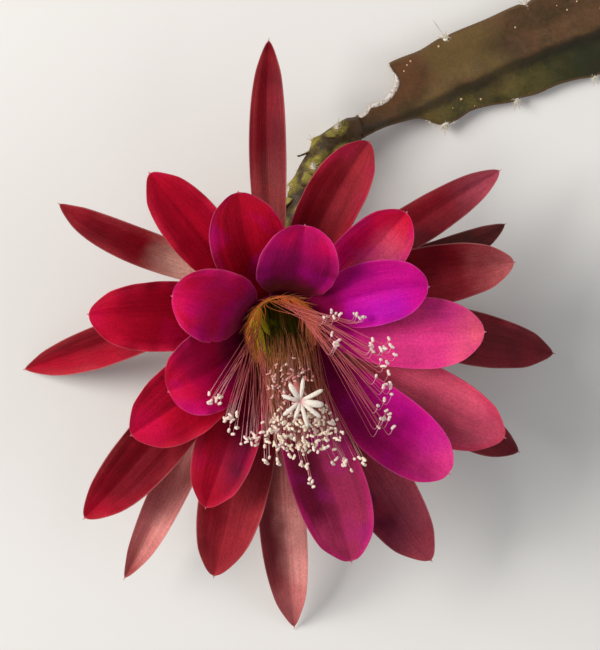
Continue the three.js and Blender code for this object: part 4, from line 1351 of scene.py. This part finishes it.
for azimuth, length, width in LOBES:
    way, side = direction(azimuth, 17), direction(azimuth + 90, 0)
    over = np.cross(way, side)
    line = STIGMA - UP * 0.4 + np.outer(t * length, way) + np.outer(0.8 * np.sin(np.pi * t), over)
    reach = width * np.cos(angle)[:, None] * side + 0.62 * np.sin(angle)[:, None] * over
    points, faces = closed_rod(line, profile[:, None, None] * reach)
    star.add(points, faces, 1, toward_tip=along_rod(t, LOBE_STEPS))
heap_piece("style_and_star", star, [style_skin, lobe_skin], "style")
print("stigma lobes:", len(LOBES), "faces:", len(star.faces))

# %% [markdown]
# ## The flat stem
# The stem of an orchid cactus is a long flat wing on either side of a rib. Its edges are notched,
# and in each notch sits an areole: a pad of wool with a few spines. Near the flower something has
# bitten this one, and the wound has healed under a pale rim of cork. The skin is bronze above the
# rib and olive below it, with a painted shadow along the lower side of the rib.

# %% Edges, rib and bite of the stem
LEFT_EDGE = [
    (0, 3.2), (4, 4.2), (9, 10.4), (13.3, 13.4), (17, 14.6), (24, 14.9), (30.5, 16.2), (32.2, 15.8),
    (34, 16.4), (45, 17), (55.5, 17.9), (57.4, 17.2), (59.5, 17.9), (70, 18.6), (80, 18.9),
    (82, 18.2), (84, 18.7), (90, 18.6),
]
RIGHT_EDGE = [
    (0, -3.4), (6, -2.8), (12, -3.1), (18, -4.2), (21.5, -7), (24, -8.4), (28, -8.2), (33, -7.1),
    (39, -7.6), (45, -8.7), (48, -8.5), (53, -8.9), (60, -8.4), (66, -8.9), (70.5, -9.7),
    (74, -9.3), (82, -8.2), (90, -7.4),
]
RIDGE = [(0, 0), (14, -0.2), (30, 1.6), (45, 3), (60, 3.8), (90, 4.8)]
MIDDLE_HEIGHT = [(0, STEM_JOINT[2]), (10, 6.4), (24, 4.8), (45, 4), (90, 3.9)]
RIDGE_HALF = [(0, 3.1), (12, 3), (30, 3.4), (50, 4), (70, 4.6), (90, 4.6)]
BITE_MIDDLE, BITE_HALF = (7.5, 13.1), (8.0, 8.2)
stem_way = direction(STEM_TURN, 0)
stem_side = np.cross(UP, stem_way)


def on_stem(s, w, z):
    """The point at s along the stem, w to its left and z above the table."""
    flat = np.array([STEM_JOINT[0], STEM_JOINT[1], 0.0])
    s, w, z = (np.asarray(x, float)[..., None] for x in (s, w, z))
    return flat + (s + SEAT) * stem_way + w * stem_side + z * UP


def bitten_edge(s):
    """The left edge with the bite taken out of it."""
    share = (s - BITE_MIDDLE[0]) / BITE_HALF[0]
    bite = BITE_MIDDLE[1] - BITE_HALF[1] * np.sqrt(np.clip(1 - share**2, 0, 1))
    edge = through(LEFT_EDGE, s)
    return np.where(np.abs(share) < 1, np.minimum(edge, bite), edge)


def stem_section(s, w):
    """Half the thickness and the height of the middle sheet."""
    ridge = through(RIDGE, s)
    edge = np.where(w > ridge, bitten_edge(s), through(RIGHT_EDGE, s))
    out = np.minimum(1, np.abs(w - ridge) / np.abs(edge - ridge))
    rib = np.exp(-(((w - ridge) / 3.2) ** 2))
    wing = STEM_EDGE * (0.45 + 0.55 * np.sqrt(np.clip(1 - out**6, 0, 1)))
    half = wing + (through(RIDGE_HALF, s) - STEM_EDGE) * rib
    tilt = np.where(w > ridge, 1.2 * out, -1.1 * out)
    return half, through(MIDDLE_HEIGHT, s) + tilt * smooth(s, 4, 24)


print("stem", LEFT_EDGE[-1][1] - RIGHT_EDGE[-1][1], "mm wide at the cut")


# %% The stem's blade
BITE_STATIONS = [14.7, 15.2, 15.35, 15.45, 15.52, 15.8]  # closer rings where the bite ends
stations = np.sort(np.concatenate([np.linspace(0, STEM_LENGTH, 151), BITE_STATIONS]))
shares = np.sin(np.linspace(0, 1, 22) * np.pi / 2)
s = stations[:, None]
ridge = through(RIDGE, s)
to_left = ridge + (bitten_edge(s) - ridge) * shares[::-1]
to_right = ridge + (through(RIGHT_EDGE, s) - ridge) * shares[1:]
w = np.concatenate([to_left, to_right], axis=1)
half, middle = stem_section(s, w)
share = (s - BITE_MIDDLE[0]) / BITE_HALF[0]
from_bite = BITE_HALF[1] * np.abs(np.hypot(share, (w - BITE_MIDDLE[1]) / BITE_HALF[1]) - 1)
in_wound = smooth(s, 0.8, 2.2) * (1 - smooth(s, 15.3, 16.2)) * smooth(w, 1.6, 2.8)
from_edge = np.where(w > ridge, bitten_edge(s) - w, 9.0)
healed = smooth(s, 0.2, 1.2) * (1 - smooth(s, 4, 8))
cork = np.maximum(bell(from_bite, 0, 1.35) * in_wound, bell(from_edge, 0, 1.1) * healed)
half = half + 0.4 * bell(from_bite, 0.4, 0.8) * in_wound
lean = -1.6 * smooth(w, 8, 14) * bell(s, 15.0, 3.5)
DENT_WAVES, DENT_DEPTH = (7, 9, 12, 16, 21, 29), 0.05
dent = 0.0
rng = np.random.default_rng(41)
for wavelength in DENT_WAVES:
    along_share, phase = rng.uniform(0.3, 0.95), rng.uniform(0, 2 * np.pi)
    across_share = math.sqrt(1 - along_share**2) * rng.choice([-1, 1])
    wave_place = along_share * s + across_share * w
    dent = dent + DENT_DEPTH * np.sin(2 * np.pi / wavelength * wave_place + phase)
over = on_stem(s + lean, w, middle + half + dent)
below = on_stem(s + lean, w, np.maximum(0, middle - half + dent * 0.5))
rings = np.concatenate([over, below[:, ::-1]], axis=1)
rows, around = rings.shape[:2]
faces = strip_faces(rows, around, around=True)
caps = []
for first, forward in ((0, False), ((rows - 1) * around, True)):
    for j in range(around // 2 - 1):
        quad = [first + j, first + j + 1, first + around - 2 - j, first + around - 1 - j]
        caps.append(quad if forward else quad[::-1])


def mirrored(values):
    """The same values for the upper and the lower face."""
    return np.concatenate([values, values[:, ::-1]], axis=1).ravel()


edge_gap = np.where(w > ridge, bitten_edge(s) - w, w - through(RIGHT_EDGE, s))
features = {
    "from_ridge": mirrored(w - ridge),
    "along_stem": mirrored(np.broadcast_to(s / STEM_LENGTH, w.shape)),
    "cork": mirrored(cork),
    "from_margin": mirrored(edge_gap),
}
print("stem blade:", rows, "rings of", around, "points")

# %% Materials of the stem
bark, tree, shader = new_material("bronze_and_olive_skin", specular_ior_level=0.24)
along = feature_of(tree, "along_stem")
bronze = mottle(tree, "5a3e28", "3e2e16", 110.0)
olive = mottle(tree, "5c5024", "2e2c10", 140.0)
drift = times(tree, minus(tree, speckle(tree, 120.0, 3.0), 0.5), 3.0)
above = plus(tree, feature_of(tree, "from_ridge"), drift)
grey_green = layers(tree, along, olive["Color"], [(0.45, 0.8, "262812")])
tint = mix(tree, step(tree, above, -2.6, 0.0), grey_green, bronze["Color"])
reddish = times(tree, step(tree, along, 0.4, 0.1), step(tree, above, 1.0, 6.0))
smudge = step(tree, speckle(tree, 42.0), 0.48, 0.68)
shaded = step(tree, speckle(tree, 55.0), 0.48, 0.36)
# Painted shadow: a dark band along the lower side of the rib.
painted_rib_shadow = times(tree, step(tree, above, -4.4, -2.4), step(tree, above, 0.4, -1.2))
patches = [(reddish, 0.5, "6c4020"), (smudge, 0.55, "6e5a30"), (shaded, 0.45, "2a2012")]
for share, strength, code in patches + [(painted_rib_shadow, 0.6, "22180e")]:
    tint = wash(tree, tint, share, strength, colour(code))
tint = layers(tree, along, tint, [(0.035, 0.0, "3c2a18")])
tint = layers(tree, feature_of(tree, "from_margin"), tint, [(1.1, 0.1, "5c442c")])
cells = skin_cells(tree, 2000.0, 0.22)
tint = brighten(tree, tint, cells["Light"])
wrinkles = speckle(tree, 420.0, 4.0, 0.55)
crust = speckle(tree, 1500.0, 4.0, 0.7)
pale_cork = layers(tree, crust, colour("9a8e80"), [(0.35, 0.65, "e4dcd2")])
is_cork = step(tree, plus(tree, feature_of(tree, "cork"), times(tree, crust, 0.3)), 0.5, 0.8)
tree.links.new(mix(tree, is_cork, tint, pale_cork), shader["Base Color"])
tree.links.new(scaled(tree, is_cork, 0.42, 0.45), shader["Roughness"])
height = plus(tree, times(tree, cells["Height"], 0.15), wrinkles)
height = plus(tree, height, times(tree, crust, is_cork))
tree.links.new(bump(tree, height, 0.35, 0.5), shader["Normal"])

pith, tree, shader = new_material("cut_face", specular_ior_level=0.5, roughness=0.45)
flesh = mottle(tree, "b9c08a", "8e9c5c", 500.0)
veins = speckle(tree, 900.0)
centre = maths(tree, "ABSOLUTE", feature_of(tree, "from_ridge"))
tint = layers(tree, centre, flesh["Color"], [(4.0, 1.0, "d9d6ae")])
tint = layers(tree, veins, tint, [(0.62, 0.72, "efe9c8")])
tree.links.new(tint, shader["Base Color"])
tree.links.new(bump(tree, veins, 0.2, 0.5), shader["Normal"])
print("materials:", bark.name, pith.name)

# %% The stem's blade as a piece
finish = [0] * (len(faces) + len(caps) // 2) + [1] * (len(caps) // 2)
piece("stem_blade", rings.reshape(-1, 3), faces + caps, [bark, pith], "stem", features, finish)
print("stem:", len(faces), "faces,", round(STEM_LENGTH), "mm long")

# %% Areoles with wool and spines, and small scars
Areole = namedtuple("Areole", "s w hairs spread spines")
AREOLES = [
    Areole(32.2, 15.7, 150, 0.9, [(105, 7.0), (150, 2.6), (70, 2.2)]),
    Areole(57.4, 17.1, 130, 0.8, [(95, 4.5), (135, 2.6), (62, 2.4)]),
    Areole(82.0, 18.1, 130, 0.8, [(100, 5.0), (60, 2.4)]),
    Areole(24.2, -8.2, 150, 1.2, [(-109, 3.4), (-80, 2.2), (-140, 2.0)]),
    Areole(46.6, -8.5, 130, 0.8, [(-122, 3.4), (-92, 3.2), (-66, 2.6)]),
    Areole(70.6, -9.5, 130, 0.8, [(-112, 3.2), (-84, 2.8)]),
]
rng = np.random.default_rng(6)
areoles = Heap()
for areole in AREOLES:
    middle = stem_section(areole.s, areole.w)[1]
    heart = on_stem(areole.s, areole.w, middle + 0.2)
    outward = stem_side if areole.w > 0 else -stem_side
    add_tuft(areoles, heart, unit(outward + 0.7 * UP), areole.hairs, 1.1, 1.1 * areole.spread)
    for turn, length in areole.spines:
        way = unit(direction(STEM_TURN + turn, 14))
        add_hair(areoles, heart, way, length, 0.14, 0.04, finish=1, sides=5)
for s in np.linspace(19.4, 27.6, 22):
    w = through(RIGHT_EDGE, s)
    half, middle = stem_section(s, w + 0.3)
    root = on_stem(s + rng.normal() * 0.2, w + 0.2, middle + half * 0.6)
    for _ in range(3):
        way = unit(-stem_side + UP * 0.6 + rng.normal(size=3) * 0.5)
        add_hair(areoles, root, way, 0.9, 0.07, 0.5)
SCARS = [
    (19.0, 12.2), (20.3, 12.9), (17.6, 10.8), (31.0, -2.6), (36.5, -4.6), (34.2, -5.9), (27.8, -4.2),
    (66.0, 14.0), (68.5, 11.8), (72.0, 13.2), (29.5, 14.2), (44.0, 9.5), (52.5, 12.0), (78.0, 9.0),
]
for s, w in SCARS:
    half, middle = stem_section(s, w)
    size = rng.uniform(0.25, 0.45)
    spot = on_stem(s, w, middle + half + np.array([-0.3, -0.05, 0.1, 0.16]) * (size / 0.35))
    points, faces = rod(spot, np.array([1.0, 0.95, 0.6, 0.15]) * size, 8)
    areoles.add(points, faces, 2, toward_tip=1.0)
scar, tree, shader = new_material("corky_scar", specular_ior_level=0.3, roughness=0.75)
tint = mix(tree, speckle(tree, 40.0), colour("b8763c"), colour("d8c8a0"))
tint = brighten(tree, tint, scaled(tree, speckle(tree, 1200.0, 3.0), 0.7, 0.6))
tree.links.new(tint, shader["Base Color"])
heap_piece("stem_areoles", areoles, [wool, spine, scar], "stem")
print("areoles:", len(AREOLES), "scars:", len(SCARS), "faces:", len(areoles.faces))

# %% [markdown]
# ## Table, light and camera
# The bloom lies on a plain pale table under soft studio light: a strong lamp on the left models the
# cupped tepals, and a weaker, wider one on the right and the pale room fill the shadows. The camera
# looks down into the throat from ten degrees off the flower's axis.

# %% The table
table_mesh = bpy.data.meshes.new("table")
TABLE_REACH = 3.0  # metres from the middle to each side
corners = [(TABLE_REACH * x, TABLE_REACH * y, 0) for x, y in ((-1, -1), (1, -1), (1, 1), (-1, 1))]
table_mesh.from_pydata(corners, [], [(0, 1, 2, 3)])
table = bpy.data.objects.new("table", table_mesh)
bpy.context.scene.collection.objects.link(table)
table_skin, tree, shader = new_material("pale_table", roughness=0.9, specular_ior_level=0.1)
tint = mix(tree, speckle(tree, 6.0), colour("dcdad6"), colour("e2e0dc"))
tree.links.new(tint, shader["Base Color"])
table_mesh.materials.append(table_skin)
print("table:", 2 * TABLE_REACH, "m wide")


# %% Lamps and the pale room
def lamp(name, azimuth, rise, distance, size, power, tint):
    """A square soft lamp that faces the flower."""
    data = bpy.data.lights.new(name, "AREA")
    data.size, data.energy, data.color = size, power, tint
    made = bpy.data.objects.new(name, data)
    bpy.context.scene.collection.objects.link(made)
    target = (BLOOM_AXIS + UP * RIM_HEIGHT) / MM
    made.location = target + direction(azimuth, rise) * distance
    facing = unit(target - np.array(made.location))
    made.rotation_mode = "QUATERNION"
    made.rotation_quaternion = Vector(facing).to_track_quat("-Z", "Y")


lamp("key_lamp", 160, 38, 1.6, 0.8, 31.5, (1.0, 0.97, 0.94))
lamp("fill_lamp", 350, 35, 1.7, 1.3, 6.2, (0.96, 0.98, 1.0))
world = bpy.data.worlds.new("pale_room")
world.use_nodes = True
world.node_tree.nodes["Background"].inputs["Color"].default_value = (0.9, 0.92, 0.95, 1)
world.node_tree.nodes["Background"].inputs["Strength"].default_value = 0.38
bpy.context.scene.world = world
bpy.context.scene.view_settings.view_transform = "Standard"

# %% The camera
LENS, SENSOR = 150.0, 36.0
IMAGE = (600, 650)
RIM_PIXEL = (283, 333)
PIXEL_MM = 0.28
CAMERA_AZIMUTH, CAMERA_RISE = 115, 80
camera_data = bpy.data.cameras.new("camera")
camera_data.lens, camera_data.sensor_width = LENS, SENSOR
camera_data.clip_start, camera_data.clip_end = 0.05, 20
camera = bpy.data.objects.new("camera", camera_data)
bpy.context.scene.collection.objects.link(camera)
bpy.context.scene.camera = camera
back = direction(CAMERA_AZIMUTH, CAMERA_RISE)
image_up = unit(np.array([0, 1.0, 0]) - back[1] * back)
image_right = np.cross(image_up, back)
distance = LENS / SENSOR * max(IMAGE) * PIXEL_MM
off_right = (RIM_PIXEL[0] - IMAGE[0] / 2) * PIXEL_MM
off_up = (IMAGE[1] / 2 - RIM_PIXEL[1]) * PIXEL_MM
rim = BLOOM_AXIS + UP * RIM_HEIGHT
camera.location = (rim + back * distance - off_right * image_right - off_up * image_up) / MM
matrix = np.column_stack([image_right, image_up, back])
camera.rotation_euler = Matrix(matrix.tolist()).to_euler()
print("camera at", [round(x, 4) for x in camera.location], "m")
